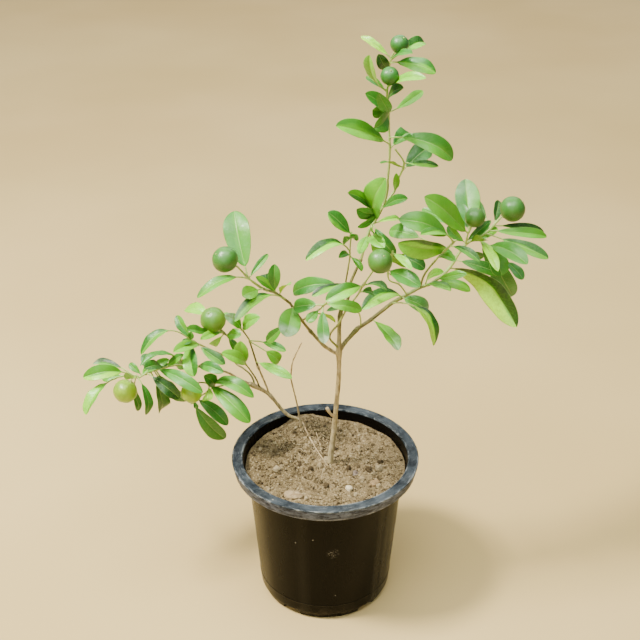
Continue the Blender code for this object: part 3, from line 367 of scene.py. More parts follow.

# Leaves that stand out: how yellow the left and the right half is, from -1 (darkest) to 2 (lime), where
# across the leaf the two meet, from -1 to 1, and how strong a painted sheen of sky light the leaf's upper
# face takes. Left and right are as seen from above, with the leaf's tip ahead. From 0 to 1 a half has its
# own yellow; below 0 it is darkened with painted shade, and above 1 it is painted lime, as light shining
# through it.
LEAF_LOOKS = {
    "left_low": ((.7, .6, 0, .5), (.3, -.3, 0, 0)),
    "left_inner": ((.1, .2, 0, .6), None, (.1, .3, 0, .9), (.6, 1.1, 0, .3)),
    "left_mid": ((-.3, .1, 0, .4), (-.2, .2, 0, .7), (1, .8, 0, 0), (1.2, -.5, .3, 0), (.2, .9, 0, 0)),
    "left_tip": ((.1, .4, -.25, .65), (0, .35, 0, 0), (.5, .2, .3, .1), (.9, .9, 0, 0)),
    "middle_twig": ((1.1, .1, 0, 0), (-.6, .3, .3, 0), (-.5, -.4, 0, .4)),
    "inner_left_low": ((-.1, .2, 0, .7), (.8, -.9, .2, 0)),
    "inner_left_top": ((.9, -.1, -.5, .6), (.1, .1, 0, .9), (.1, .1, 0, .9), (1.3, -.6, .15, 0)),
    "crown_low": ((1, 1.6, 0, 0), None, (0, .1, 0, .5), (.8, .9, 0, .1), (.9, .8, 0, 0), (.9, 1, 0, .2)),
    "crown_mid": ((.8, .5, .3, .4), (0, .1, 0, .4), (-.7, .6, 0, .2), (.5, .5, 0, .9), (0, .2, 0, .8)),
    "crown_side": ((-.2, 0, 0, .15), (-.2, .9, 0, 0), (.2, .2, 0, .8), (.9, .7, 0, 0)),
    "crown_high": ((.9, .2, .3, .4), (0, .3, 0, .6), (.1, .6, -.1, .6)),
    "crown_node": (
        (-.7, -.4, 0, .3), (.9, .9, 0, .6), (-.1, .1, 0, .7), (.1, .1, 0, 1), (.2, .2, 0, .4),
        (.5, .4, 0, .9), (.1, .3, 0, .3)),
    "top_fruit": ((.5, 1.1, 0, 0), (.9, 1.1, 0, 0), (-.3, .3, 0, 0)),
    "top": ((1.6, 1.4, 0, .1), (-.8, -.8, 0, 0), (-.6, .9, 0, .2), (0, .2, 0, .6), (0, .9, -.2, .4)),
    "right_base": ((-.4, -.6, 0, 0), (.75, .65, 0, .3)),
    "right_low": ((1.3, -.5, .2, 0), (.1, .3, 0, .3), (-.5, 1.7, -.4, 0)),
    "right_mid": ((.3, 1, -.5, 0), (.3, 1, -.5, 0), (1, 1.1, 0, 0)),
    "middle_right": (
        (1.2, 1.3, 0, 0), (-1, -.8, 0, 0), (-.6, -.4, 0, .7), (.4, .2, 0, .9), (-.6, -.6, 0, 0)),
    "right_upper": ((.3, .4, 0, .5), (.5, .3, 0, .5), (.8, .1, .2, 0), (1.2, -.5, .55, 0), (-.5, .2, 0, 0)),
    "right_fork": (
        (-.7, 2, -.05, 0), (-.3, .1, .2, 0), (-.8, -.8, 0, 0), (.2, 1, 0, 0), (0, .1, 0, .5),
        (.1, .2, 0, .9)),
    "right_fruit": (
        (-.2, .35, -.1, .25), (-.5, -.4, 0, .6), (.7, .55, 0, .3), (.4, .4, 0, .5), (.2, .5, 0, .4),
        (-.4, 0, 0, .2)),
    "right_tip": ((-.7, -.6, 0, 0), (.2, .2, 0, 0), (.4, .7, 0, .5), (-.9, -.4, 0, 0), (-.4, .6, -.2, 0)),
    "right_hanging": (
        (.2, .3, 0, .4), (.2, .1, 0, .7), (-.2, 0, 0, .6), (1.5, 1.7, 0, 0), (-.2, -.1, 0, .9)),
    "second_leafy": ((.1, .8, 0, .6), (.7, .8, 0, 0), (1.1, .9, 0, .5)),
    "second_tip": (None, None, (.7, .7, 0, 0)),
    "second_inner": ((1, .9, 0, 0), (1.1, .9, 0, 0)),
    "left_fruit": (
        (.5, .5, 0, 0), (1.1, 1.1, 0, 0), (1.1, 1, 0, 0), (1.3, 1.3, 0, 0), (.9, .9, 0, 1.3), (0, .3, 0, 0)),
    "far_upper": (
        (.5, -.3, .2, .2), (-.1, .5, 0, .5), None, (-.3, .4, 0, 0), (-.1, .9, 0, 0), None, (.9, .7, 0, 0)),
    "far_mid": ((-.3, .3, 0, .7), (0, -.3, 0, 0), (-.5, -.3, 0, .3), (0, .1, 0, .5)),
    "far_left": (
        (.2, .3, 0, .7), (-.6, -.4, 0, .1), (.2, -.2, 0, 0), (-.6, -.7, 0, 0), (-.4, -.2, 0, 0),
        (-.7, -.5, 0, .5), (.3, -.3, 0, .2), None, None, None, (.2, .9, 0, 0), (.1, .6, 0, .2)),
    "far_tip": (
        (1.5, .3, -.2, 0), (.4, -1, -.3, 0), None, (.5, 1.2, -.4, 0), (0, 0, 0, 1), (-.3, -.2, 0, .2)),
    "low_left": ((.2, .6, 0, .3), (.1, .55, -.35, .3), (-.3, 0, 0, 0), (.5, .5, 0, 0), (.5, 0, 0, .1)),
    "low_hanging": ((-.1, .15, 0, .4), (0, .1, 0, .2)),
}

# How much the bent-down tip of a leaf is painted pale, as if light glanced off it
TIP_SHINE = {
    ("left_low", 0): .7, ("left_inner", 2): .8, ("right_base", 1): .5, ("left_mid", 3): .25,
    ("right_fruit", 0): .2, ("right_low", 1): .35, ("second_tip", 0): .6, ("far_tip", 1): .35,
}

# How woody the bark of a shoot is at its foot, from 0 (green) to 1, where its thickness doesn't tell
WOODY = {
    "right_low": .75, "right_mid": .55, "right_fork": .2, "crown_low": .45, "left_low": .95, "left_mid": .8,
    "left_tip": .55, "left_inner": .6, "middle_twig": .6, "inner_left_low": .75, "inner_left_top": .5,
    "right_upper": .65, "second_leafy": .9, "second_tip": .7, "second_inner": .75, "left_fruit": .75,
    "far_upper": .6, "far_mid": .6, "low_left": .6,
}

# A fruit is painted paler on the side that faces this way, a painted sheen of sky light, and darker on the
# far side, a painted shade
FRUIT_SHEEN_SIDE = (-0.35, -0.25, 0.90)

# The room
SENSOR = 36.0
LENS = 61.9
CAMERA_PLACE = (-0.0057, -0.989, 0.875)
CAMERA_DOWN = 28.47
FLOOR_RADIUS = 9.0
SKY_COLOUR = (0.74, 0.87, 1.0)
SKY_STRENGTH = 0.22
# Soft lights: place, what it looks at, width, height, power, colour
LIGHTS = (
    ("overhead", (0.1, -0.5, 2.7), (0, 0, 0.3), 2.2, 1.9, 92.0, (0.95, 0.97, 0.92)),
    ("key", (-1.2, -0.3, 2.2), (0, 0, 0.35), 0.45, 0.45, 120.0, (1.0, 0.95, 0.84)),
    ("fill", (-0.5, -2.6, 1.5), (0, 0, 0.40), 1.8, 1.2, 22.0, (0.92, 1.0, 0.80)),
    ("far", (0.0, 3.0, 2.4), (0, 2.4, 0), 4.0, 1.6, 70.0, (1.0, 0.97, 0.92)),
)

# Barks: the colours of their furrows, of what lies between these, and of their scales
BARK = ((0.245, 0.180, 0.082), (0.600, 0.475, 0.245), (0.68, 0.56, 0.33))
DRY_WOOD = ((0.30, 0.21, 0.10), (0.60, 0.45, 0.25), (0.68, 0.55, 0.34))


def place_object(name, data):
    """Put an object with this data in the scene, and return it."""
    thing = bpy.data.objects.new(name, data)
    bpy.context.scene.collection.objects.link(thing)
    return thing


def worked_mesh(name, work):
    """Turn a working mesh into an ordinary one, and free it."""
    mesh = bpy.data.meshes.new(name)
    work.to_mesh(mesh)
    work.free()
    return mesh


def reset_stage():
    """Remove what the factory scene holds besides the frame."""
    for thing in list(bpy.context.scene.objects):
        if thing.type in {"CAMERA", "LIGHT"} or thing.name == "Cube":
            bpy.data.objects.remove(thing, do_unlink=True)


# Materials


class Value:
    """A number, colour or direction that a material works out for each point of its surface."""

    def __init__(self, finish, socket):
        self.finish = finish
        self.socket = socket

    def step(self, operation, second=0.0, third=0.0):
        """Return the result of one step of arithmetic."""
        return self.finish.add("Math", {0: self, 1: second, 2: third}, operation=operation)

    def __abs__(self):
        return self.step("ABSOLUTE")

    def __mul__(self, other):
        return self.step("MULTIPLY", other)

    def __sub__(self, other):
        return self.step("SUBTRACT", other)

    def fit(self, low, high, start=0.0, end=1.0):
        """Return the value, moved from the range low..high to start..end and kept inside it."""
        inputs = {"Value": self, "From Min": low, "From Max": high, "To Min": start, "To Max": end}
        return self.finish.add("MapRange", inputs, interpolation_type="SMOOTHSTEP")


class Finish:
    """A node-based material, built up with short calls."""

    def __init__(self, name, **values):
        self.material = bpy.data.materials.new(name)
        self.material.use_nodes = True
        self.tree = self.material.node_tree
        self.shader = self.tree.nodes["Principled BSDF"].inputs
        for socket, value in values.items():
            self.put(self.shader[socket.replace("_", " ")], value)

    def put(self, socket, value):
        """Link a socket to a value, or set it to a number or a colour."""
        if isinstance(value, Value):
            self.tree.links.new(value.socket, socket)
        elif socket.type == "RGBA":
            socket.default_value = (*value, 1.0)
        else:
            socket.default_value = value

    def add(self, kind, inputs, output=0, **settings):
        """Add a node and return one of its outputs."""
        node = self.tree.nodes.new("ShaderNode" + kind)
        for setting, value in settings.items():
            setattr(node, setting, value)
        for socket, value in inputs.items():
            self.put(node.inputs[socket], value)
        return Value(self, node.outputs[output])

    def mark(self, name):
        """Return a value that the mesh carries for each point."""
        return self.add("Attribute", {}, "Fac", attribute_name=name)

    def place(self, stretch=(1, 1, 1)):
        """Return the place in the object's own frame, stretched along its axes."""
        return self.add("Mapping", {"Vector": self.add("TexCoord", {}, "Object"), "Scale": stretch})

    def axis(self, name):
        """Return the place along one axis, in metres."""
        return self.add("SeparateXYZ", {"Vector": self.place()}, name)

    def turn(self):
        """Return the angle about the pot's axis, in radians from +X."""
        return self.axis("Y").step("ARCTAN2", self.axis("X"))

    def radius(self):
        """Return the distance from the pot's axis, in metres."""
        return self.add("VectorMath", {0: self.place((1, 1, 0))}, "Value", operation="LENGTH")

    def unrolled(self):
        """Return the place as (metres round the rim, distance from the axis, height)."""
        row = {"X": self.turn() * RIM_RADIUS, "Y": self.radius(), "Z": self.axis("Z")}
        return self.add("CombineXYZ", row)

    def near(self, point):
        """Return the distance from a fixed point, in metres."""
        return self.add("VectorMath", {0: self.place(), 1: point}, "Value", operation="DISTANCE")

    def noise(self, scale, detail=3.0, rough=0.5, stretch=(1, 1, 1), warp=0.0, where=None):
        """Return a soft random pattern with `scale` lumps to the metre."""
        where = self.add("Mapping", {"Vector": where or self.place(), "Scale": stretch})
        inputs = {"Vector": where, "Scale": scale, "Detail": detail, "Roughness": rough, "Distortion": warp}
        return self.add("TexNoise", inputs, "Fac")

    def cells(self, scale, stretch=(1, 1, 1)):
        """Return the distance to the nearest of random points, `scale` of them to the metre."""
        return self.add("TexVoronoi", {"Vector": self.place(stretch), "Scale": scale}, "Distance")

    def mix(self, share, first, second):
        """Return one colour mixed into another."""
        return self.add("Mix", {0: share, 6: first, 7: second}, 2, data_type="RGBA")

    def paint(self, colour, *layers):
        """Return a colour under layers of others, each with the share it covers."""
        for share, layer in layers:
            colour = self.mix(share, colour, layer)
        return colour

    def done(self, colour, rough, relief=None, depth=0.0):
        """Give the shader its colour, its roughness and a relief `depth` metres deep."""
        self.put(self.shader["Base Color"], colour)
        self.put(self.shader["Roughness"], rough)
        if relief:
            bump = self.add("Bump", {"Height": relief, "Distance": depth, "Strength": 1.0})
            self.put(self.shader["Normal"], bump)
        return self.material


def vein_lines(along, side):
    """Return a pattern of slanting side veins, 1 on a vein and 0 between them."""
    slant = along.step("MULTIPLY_ADD", 11.0, side * -1.6)
    return slant.step("PINGPONG", 0.5).fit(0.0, 0.10, 1.0, 0.0) * side.fit(0.95, 0.30)


def leaf_top_finish():
    """The glossy upper face of a leaf."""
    look = Finish("leaf_top", Coat_Weight=0.12, Coat_Roughness=0.36, Coat_IOR=1.5)
    side, tone = abs(look.mark("across")), look.mark("tone")
    veins, cloud = vein_lines(look.mark("along"), side), look.noise(420, 4.0, 0.6)
    colour = look.paint(
        look.mix(look.noise(90), (0.004, 0.085, 0.001), (0.028, 0.225, 0.003)),
        (tone, look.mix(look.noise(120), (0.140, 0.505, 0.005), (0.275, 0.715, 0.010))),
        # Tones above 1 paint a half lime, as light shining through; tones below 0 paint it dark, as shade
        (tone.fit(1.0, 2.0), (0.50, 0.90, 0.012)),
        (tone.fit(-1.0, 0.0, 1.0, 0.0), (0.004, 0.030, 0.004)),
        (cloud.fit(0.35, 0.75, 0.0, 0.35), (0.100, 0.320, 0.022)),
        (veins * 0.16, (0.22, 0.42, 0.06)),
        # A painted sheen of pale bluish sky light on the upper face, as strong as the leaf's mark says
        (look.mark("chalk") * look.noise(70).fit(0.3, 0.7, 0.20, 0.75), (0.044, 0.280, 0.030)),
        (side.fit(0.020, 0.065, 0.55, 0.0), (0.30, 0.48, 0.10)),
        (look.mark("shine") * look.noise(160).fit(0.35, 0.60, 0.4, 1.0), (0.62, 0.78, 0.60)),
        (side.fit(0.92, 0.99, 0.0, 0.50), (0.32, 0.52, 0.10)),
    )
    relief = veins.step("MULTIPLY_ADD", -0.6, cloud.fit(0.3, 0.7, 0.0, 0.5))
    return look.done(colour, look.noise(260).fit(0.3, 0.7, 0.34, 0.50), relief, 0.00014)


def leaf_under_finish():
    """The pale matt underside of a leaf."""
    look = Finish("leaf_under", Specular_IOR_Level=0.35)
    side, tone = abs(look.mark("across")), look.mark("tone")
    veins = vein_lines(look.mark("along"), side)
    colour = look.paint(
        look.mix(look.noise(100), (0.110, 0.300, 0.008), (0.190, 0.430, 0.012)),
        (tone, look.mix(look.noise(130), (0.330, 0.640, 0.015), (0.460, 0.740, 0.030))),
        # Tones above 1 paint the half lime, as light shining through
        (tone.fit(1.0, 2.0), (0.66, 0.90, 0.10)),
        (veins * 0.25, (0.46, 0.66, 0.14)),
        (side.fit(0.02, 0.08, 0.60, 0.0), (0.50, 0.66, 0.20)),
    )
    relief = veins.step("MULTIPLY_ADD", 0.8, look.noise(1500, 2.0) * 0.3)
    return look.done(colour, look.noise(300).fit(0.3, 0.7, 0.48, 0.64), relief, 0.00015)


def twig_finish():
    """Leaf stalks and young twigs: green, turning to brown bark with age."""
    look = Finish("twig")
    streak = look.noise(300, 4.0, 0.6, (1, 1, 0.25))
    share = streak.step("MULTIPLY_ADD", 0.6, look.mark("age") - 0.3).fit(0.2, 0.8)
    colour = look.paint(
        look.mix(look.noise(160), (0.32, 0.48, 0.09), (0.50, 0.60, 0.18)),
        (share, look.mix(look.noise(220, 5.0), (0.090, 0.078, 0.024), (0.250, 0.215, 0.080))),
        (look.cells(700).fit(0.16, 0.08) * 0.35, (0.50, 0.42, 0.28)),
    )
    relief = look.noise(900, 4.0, 0.6, (1, 1, 0.35))
    return look.done(colour, share.fit(0.0, 1.0, 0.48, 0.80), relief, 0.0002)


def bark_finish(name, dark, light, tint):
    """Woody bark with lengthwise furrows, paler scales, small pale pores, and olive green where young."""
    look = Finish(name, Specular_IOR_Level=0.25)
    furrows, patches = look.noise(420, 5.0, 0.65, (1, 1, 0.22), 0.6), look.noise(110)
    pores = look.cells(520, (1, 1, 0.6)).fit(0.18, 0.08)
    colour = look.paint(
        dark,
        (furrows.fit(0.30, 0.70), light),
        (patches.fit(0.42, 0.70, 0.0, 0.6), tint),
        (look.mark("age"), look.mix(furrows.fit(0.32, 0.68), (0.070, 0.074, 0.020), (0.200, 0.205, 0.060))),
        (pores * 0.5, (0.58, 0.48, 0.32)),
    )
    relief = pores.step("MULTIPLY_ADD", 0.5, furrows)
    return look.done(colour, patches.fit(0.3, 0.7, 0.74, 0.90), relief, 0.0006)


def peel_finish():
    """Unripe citrus peel: green with oil pores, yellower where it is riper, with a painted sheen on one side
    and painted shade on the other.
    """
    look = Finish("peel", Coat_Weight=0.45, Coat_Roughness=0.36, Coat_IOR=1.5)
    ripe = look.mark("ripe") * look.noise(60, 2.0).fit(0.30, 0.65, 0.55, 1.0)
    pores = look.cells(1100).fit(0.30, 0.12)
    colour = look.paint(
        look.mix(look.noise(70), (0.0015, 0.055, 0.0005), (0.009, 0.110, 0.0012)),
        # Painted sheen on the side that the lift mark points to; the far side keeps the dark green as painted
        # shade
        (look.mark("lift").fit(-0.20, 1.0, 0.0, 0.8), (0.052, 0.250, 0.036)),
        (look.noise(330, 5.0, 0.7).fit(0.42, 0.62, 0.0, 0.45), (0.030, 0.160, 0.008)),
        (ripe, look.mix(look.noise(90), (0.21, 0.42, 0.002), (0.45, 0.63, 0.004))),
        (pores * 0.20, (0.16, 0.38, 0.04)),
        (look.noise(260, 5.0, 0.7).fit(0.66, 0.74, 0.0, 0.35), (0.26, 0.30, 0.10)),
    )
    return look.done(colour, look.noise(200).fit(0.3, 0.7, 0.36, 0.50), pores * -1.0, 0.00025)


def calyx_finish():
    """The small star of sepals that holds a fruit."""
    look = Finish("calyx")
    colour = look.mix(look.noise(700, 4.0), (0.20, 0.30, 0.06), (0.46, 0.50, 0.16))
    return look.done(colour, 0.6, look.noise(1400), 0.0002)


def pot_finish():
    """Black plastic: slate-grey and scratched on the rim, grimy on the lip, with splashes of dry mud and
    upright streaks of painted reflection.
    """
    look = Finish("pot_plastic", Specular_IOR_Level=0.07)
    height, radius, rolled = look.axis("Z"), look.radius(), look.unrolled()
    flat = height.fit(POT_HEIGHT - 0.0022, POT_HEIGHT - 0.0010)
    outside = radius.fit(LIP_LOWER_RADIUS - 0.0010, LIP_LOWER_RADIUS)
    lip = height.fit(POT_HEIGHT - 0.0150, POT_HEIGHT - 0.0125) * outside
    film = look.noise(50, 5.0, 0.65)
    edge = abs(radius - (RIM_RADIUS + RIM_INNER_RADIUS) / 2).fit(0.0030, 0.0060, 0.10, 1.0)
    worn = look.noise(170, 6.0, 0.75, (0.35, 1, 1), 0.8, rolled).fit(0.46, 0.62)
    scratch = look.noise(420, 5.0, 0.8, (0.10, 1, 1), 0.4, rolled).fit(0.60, 0.68)
    slate = look.paint(
        (0.009, 0.013, 0.017),
        (film.fit(0.32, 0.70), (0.056, 0.069, 0.080)),
        (worn * edge * 0.85, (0.30, 0.32, 0.32)),
        (scratch * 0.55, (0.34, 0.36, 0.37)),
    )
    rubbed = look.noise(330, 5.0, 0.75, (0.30, 1, 1), 0.3, rolled).fit(0.34, 0.66)
    hem = abs(height - (POT_HEIGHT - 0.0118)).fit(0.0012, 0.0)
    hem *= look.noise(90, 4.0, 0.6, where=rolled).fit(0.46, 0.62)
    grime = look.paint(
        (0.014, 0.016, 0.026),
        (rubbed, (0.150, 0.170, 0.235)),
        (hem * 0.8, (0.34, 0.34, 0.36)),
        (scratch * 0.45, (0.34, 0.34, 0.36)),
    )
    base = look.mix(look.noise(18), (0.0022, 0.0017, 0.0012), (0.0045, 0.0034, 0.0024))
    # Upright streaks of painted reflection, where the wall would mirror the lit floor
    for turn, reach, depth in REFLECTION_STREAKS:
        streak = abs(look.turn() - math.radians(turn)).fit(math.radians(reach), 0.0, 0.0, depth)
        base = look.mix(streak, base, (0.060, 0.053, 0.036))
    splash = look.near(SPLASH).fit(SPLASH_REACH, SPLASH_REACH * 0.35)
    splash *= look.noise(420, 5.0, 0.75).fit(0.50, 0.62)
    mud = look.cells(46).fit(0.060, 0.035) * look.noise(300, 5.0, 0.7).fit(0.42, 0.55)
    mud = (splash * 0.45).step("MAXIMUM", mud * 0.5)
    mud = mud.step("MAXIMUM", look.near(CHIP).fit(0.0020, 0.0012) * 0.85)
    dust = height.fit(0.022, 0.002, 0.0, 0.16) * look.noise(90, 5.0, 0.7).fit(0.4, 0.7)
    colour = look.paint(
        base,
        (lip * film.fit(0.30, 0.60, 0.45, 0.95), grime),
        (flat, slate),
        (mud, (0.42, 0.39, 0.33)),
        (dust, (0.22, 0.17, 0.11)),
    )
    smear = look.noise(30, 4.0, 0.6, (1, 1, 0.3)).fit(0.3, 0.7, 0.20, 0.30)
    rough = flat.step("MULTIPLY_ADD", 0.16, lip.step("MULTIPLY_ADD", 0.18, smear))
    grain = look.noise(1600, 3.0, 0.6)
    relief = look.noise(22, 2.0, 0.5, (1, 1, 0.3)).step("MULTIPLY_ADD", 6.0, grain)
    return look.done(colour, rough, relief, 0.00005)


def soil_finish():
    """Dry sandy soil: khaki crumbs, with painted shade where the surface is hollow and a painted shadow on
    one side.
    """
    look = Finish("sandy_soil", Specular_IOR_Level=0.12)
    relief, fine = look.mark("relief"), look.noise(760, 6.0, 0.75)
    colour = look.paint(
        (0.150, 0.105, 0.050),
        (fine.fit(0.32, 0.66), (0.420, 0.315, 0.165)),
        (look.noise(38).fit(0.35, 0.70, 0.0, 0.45), (0.220, 0.160, 0.082)),
        # A painted shadow that darkens the soil towards the left side
        (look.near(SOIL_SHADOW).fit(0.085, 0.010, 0.0, 0.55), (0.150, 0.108, 0.048)),
        (relief.fit(0.62, 0.95, 0.0, 0.65), (0.560, 0.450, 0.270)),
        (look.cells(640).fit(0.18, 0.07) * 0.45, (0.640, 0.540, 0.360)),
        # Painted shade in the hollows of the surface
        (relief.fit(0.50, 0.12) * 0.88, (0.036, 0.022, 0.010)),
    )
    return look.done(colour, 0.95, look.cells(820).step("MULTIPLY_ADD", 0.8, fine), 0.0013)


def stone_finish(name, dark, light):
    """A small worn stone with fine grains."""
    look = Finish(name, Specular_IOR_Level=0.3)
    grit = look.cells(1500).fit(0.20, 0.10, 0.0, 0.5)
    colour = look.paint(dark, (look.noise(260, 5.0, 0.6).fit(0.3, 0.7), light), (grit, (0.16, 0.12, 0.08)))
    return look.done(colour, 0.85, look.noise(900, 5.0), 0.0006)


def floor_finish():
    """A plain pale floor."""
    look = Finish("floor", Specular_IOR_Level=0.2)
    colour = look.mix(look.noise(1.1).fit(0.35, 0.65), (0.60, 0.43, 0.175), (0.67, 0.49, 0.215))
    return look.done(colour, 0.9)


# Shapes


class Shape:
    """Closed surfaces gathered into one mesh, with named values for each point."""

    def __init__(self, *marks):
        self.points = []
        self.faces = []
        self.slots = []
        self.marks = {mark: [] for mark in marks}

    def count(self):
        """Return how many points there are."""
        return sum(len(block) for block in self.points)

    def add(self, points, faces, slot=0, **marks):
        """Add a closed surface whose faces all take one material."""
        base = self.count()
        self.points.append(np.asarray(points, float))
        self.faces += [tuple(base + corner for corner in face) for face in faces]
        self.slots += [slot] * len(faces)
        for mark, row in self.marks.items():
            row.append(np.broadcast_to(marks.get(mark, 0.0), len(points)))

    def sleeve(self, rings, ends, slots, **marks):
        """Add rings of points (stations, columns, 3), closed by one point at each end.

        `slots` is one material, or one for each strip between two stations and each two columns.
        """
        stations, columns = rings.shape[:2]
        base = self.count()
        self.points += [rings.reshape(-1, 3), np.array(ends)]
        slots = np.broadcast_to(slots, (stations - 1, columns))
        first, last = base + stations * columns, base + stations * columns + 1
        for column in range(columns):
            after = (column + 1) % columns
            self.faces.append((first, base + after, base + column))
            self.slots.append(int(slots[0, column]))
            for station in range(stations - 1):
                near, far = base + station * columns, base + (station + 1) * columns
                self.faces.append((near + column, near + after, far + after, far + column))
                self.slots.append(int(slots[station, column]))
            end = base + (stations - 1) * columns
            self.faces.append((end + column, end + after, last))
            self.slots.append(int(slots[-1, column]))
        for mark, row in self.marks.items():
            values = np.broadcast_to(marks.get(mark, 0.0), (stations, columns))
            row.append(values.ravel())
            row.append(np.array([values[0, 0], values[-1, 0]]))

    def build(self, name, finishes):
        """Make the object."""
        mesh = bpy.data.meshes.new(name)
        mesh.from_pydata(np.concatenate(self.points).tolist(), [], self.faces)
        mesh.polygons.foreach_set("material_index", self.slots)
        mesh.polygons.foreach_set("use_smooth", [True] * len(self.faces))
        for mark, row in self.marks.items():
            layer = mesh.attributes.new(mark, "FLOAT", "POINT")
            layer.data.foreach_set("value", np.concatenate(row).astype(np.float32))
        for finish in finishes:
            mesh.materials.append(finish)
        work = bmesh.new()
        work.from_mesh(mesh)
        bmesh.ops.recalc_face_normals(work, faces=work.faces)
        work.to_mesh(mesh)
        work.free()
        mesh.update()
        return place_object(name, mesh)


def settle(piece, slot, *nodes):
    """Let a piece ride on the part, and hide the imported parts that it stands for. The slot is not used."""
    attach(piece, "root")
    if nodes:
        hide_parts(*nodes)


def unit(vector):
    """Return vectors of length 1 along the last axis."""
    vector = np.asarray(vector, float)
    return vector / np.linalg.norm(vector, axis=-1, keepdims=True)


def smooth_step(value, low, high):
    """Return 0 below low, 1 above high, and a smooth passage between them."""
    share = np.clip((value - low) / (high - low), 0, 1)
    return share * share * (3 - 2 * share)


def spot(x, height, back):
    """Return the place of a point of the set-out plane, slid along the line of sight."""
    point = np.array((x, 0, height)) * MM
    return EYE + (point - EYE) * (1 - back * DEEPER * MM / EYE[1])


def smooth_row(points, steps):
    """Return a smooth row of points through these, with so many steps from each to the next."""
    row = [points[0] * 2 - points[1], *points, points[-1] * 2 - points[-2]]
    smooth = [points[0]]
    for before, start, end, after in zip(row, row[1:], row[2:], row[3:]):
        for step in range(1, steps + 1):
            t = step / steps
            cubic = (3 * (start - end) + after - before) * t**3
            square = (2 * before - 5 * start + 4 * end - after) * t**2
            smooth.append(start + (cubic + square + (end - before) * t) / 2)
    return np.array(smooth)


def smooth_route(route, steps=ROUTE_STEPS):
    """Return a smooth row of points through a route of the set-out plane."""
    return smooth_row([spot(*place) for place in route], steps)


def along_route(points, share):
    """Return the point a share of the way along the row of points."""
    position = share * (len(points) - 1)
    index = min(int(position), len(points) - 2)
    return points[index] + (points[index + 1] - points[index]) * (position - index)


def carried_frames(points):
    """Return the way ahead and two crossing directions at each point, with no needless turning."""
    ahead = unit(np.gradient(points, axis=0))
    side = unit(np.cross(ahead[0], (0.31, 0.87, 0.38)))
    sides = []
    for way in ahead:
        side = unit(side - way * side.dot(way))
        sides.append(side)
    sides = np.array(sides)
    return ahead, sides, np.cross(ahead, sides)


def ripple(points, size, seed=0.0):
    """Return smooth noise from -1 to 1 at each point, with lumps of the given size."""
    return np.array([noise.noise(Vector(point / size) + Vector((seed, 0, 0))) for point in points])


def noise_row(values):
    """Return smooth noise from -1 to 1 for a row of numbers."""
    return np.array([noise.noise(Vector((value, 3.7, 1.9))) for value in values])


def add_stem(shape, points, radii, columns, lump, slot=0, **marks):
    """Add a round stem with rounded ends, whose bark is uneven by `lump` metres."""
    ahead, side, up = carried_frames(points)
    turn = np.linspace(0, math.tau, columns, endpoint=False)[:, None]
    ring = side[:, None] * np.cos(turn) + up[:, None] * np.sin(turn)
    rings = points[:, None] + ring * np.asarray(radii)[:, None, None]
    flat = rings.reshape(-1, 3)
    swell = ripple(flat, 0.006) * lump + ripple(flat, 0.0022, 7.0) * lump * 0.5
    rings += ring * swell.reshape(len(points), columns, 1)
    caps = []
    for end, way in ((0, -1), (-1, 1)):
        cap = []
        for angle in (30, 60):
            shrink, reach = math.cos(math.radians(angle)), math.sin(math.radians(angle))
            middle = points[end] + ahead[end] * way * radii[end] * reach * 0.7
            cap.append(middle + (rings[end] - points[end]) * shrink)
        caps.append(np.array(cap))
    rings = np.concatenate([caps[0][::-1], rings, caps[1]])
    ends = [points[0] - ahead[0] * radii[0] * 0.75, points[-1] + ahead[-1] * radii[-1] * 0.75]
    for mark, values in marks.items():
        if np.ndim(values) == 1:
            values = np.concatenate([[values[0]] * 2, values, [values[-1]] * 2])[:, None]
        marks[mark] = values
    shape.sleeve(rings, ends, slot, **marks)


def blade_outline(along, base):
    """Return half the width of a blade, as a share of its widest, along its length."""
    outline = along**base * (1 - along**3.2) ** 0.66
    return outline / outline.max()


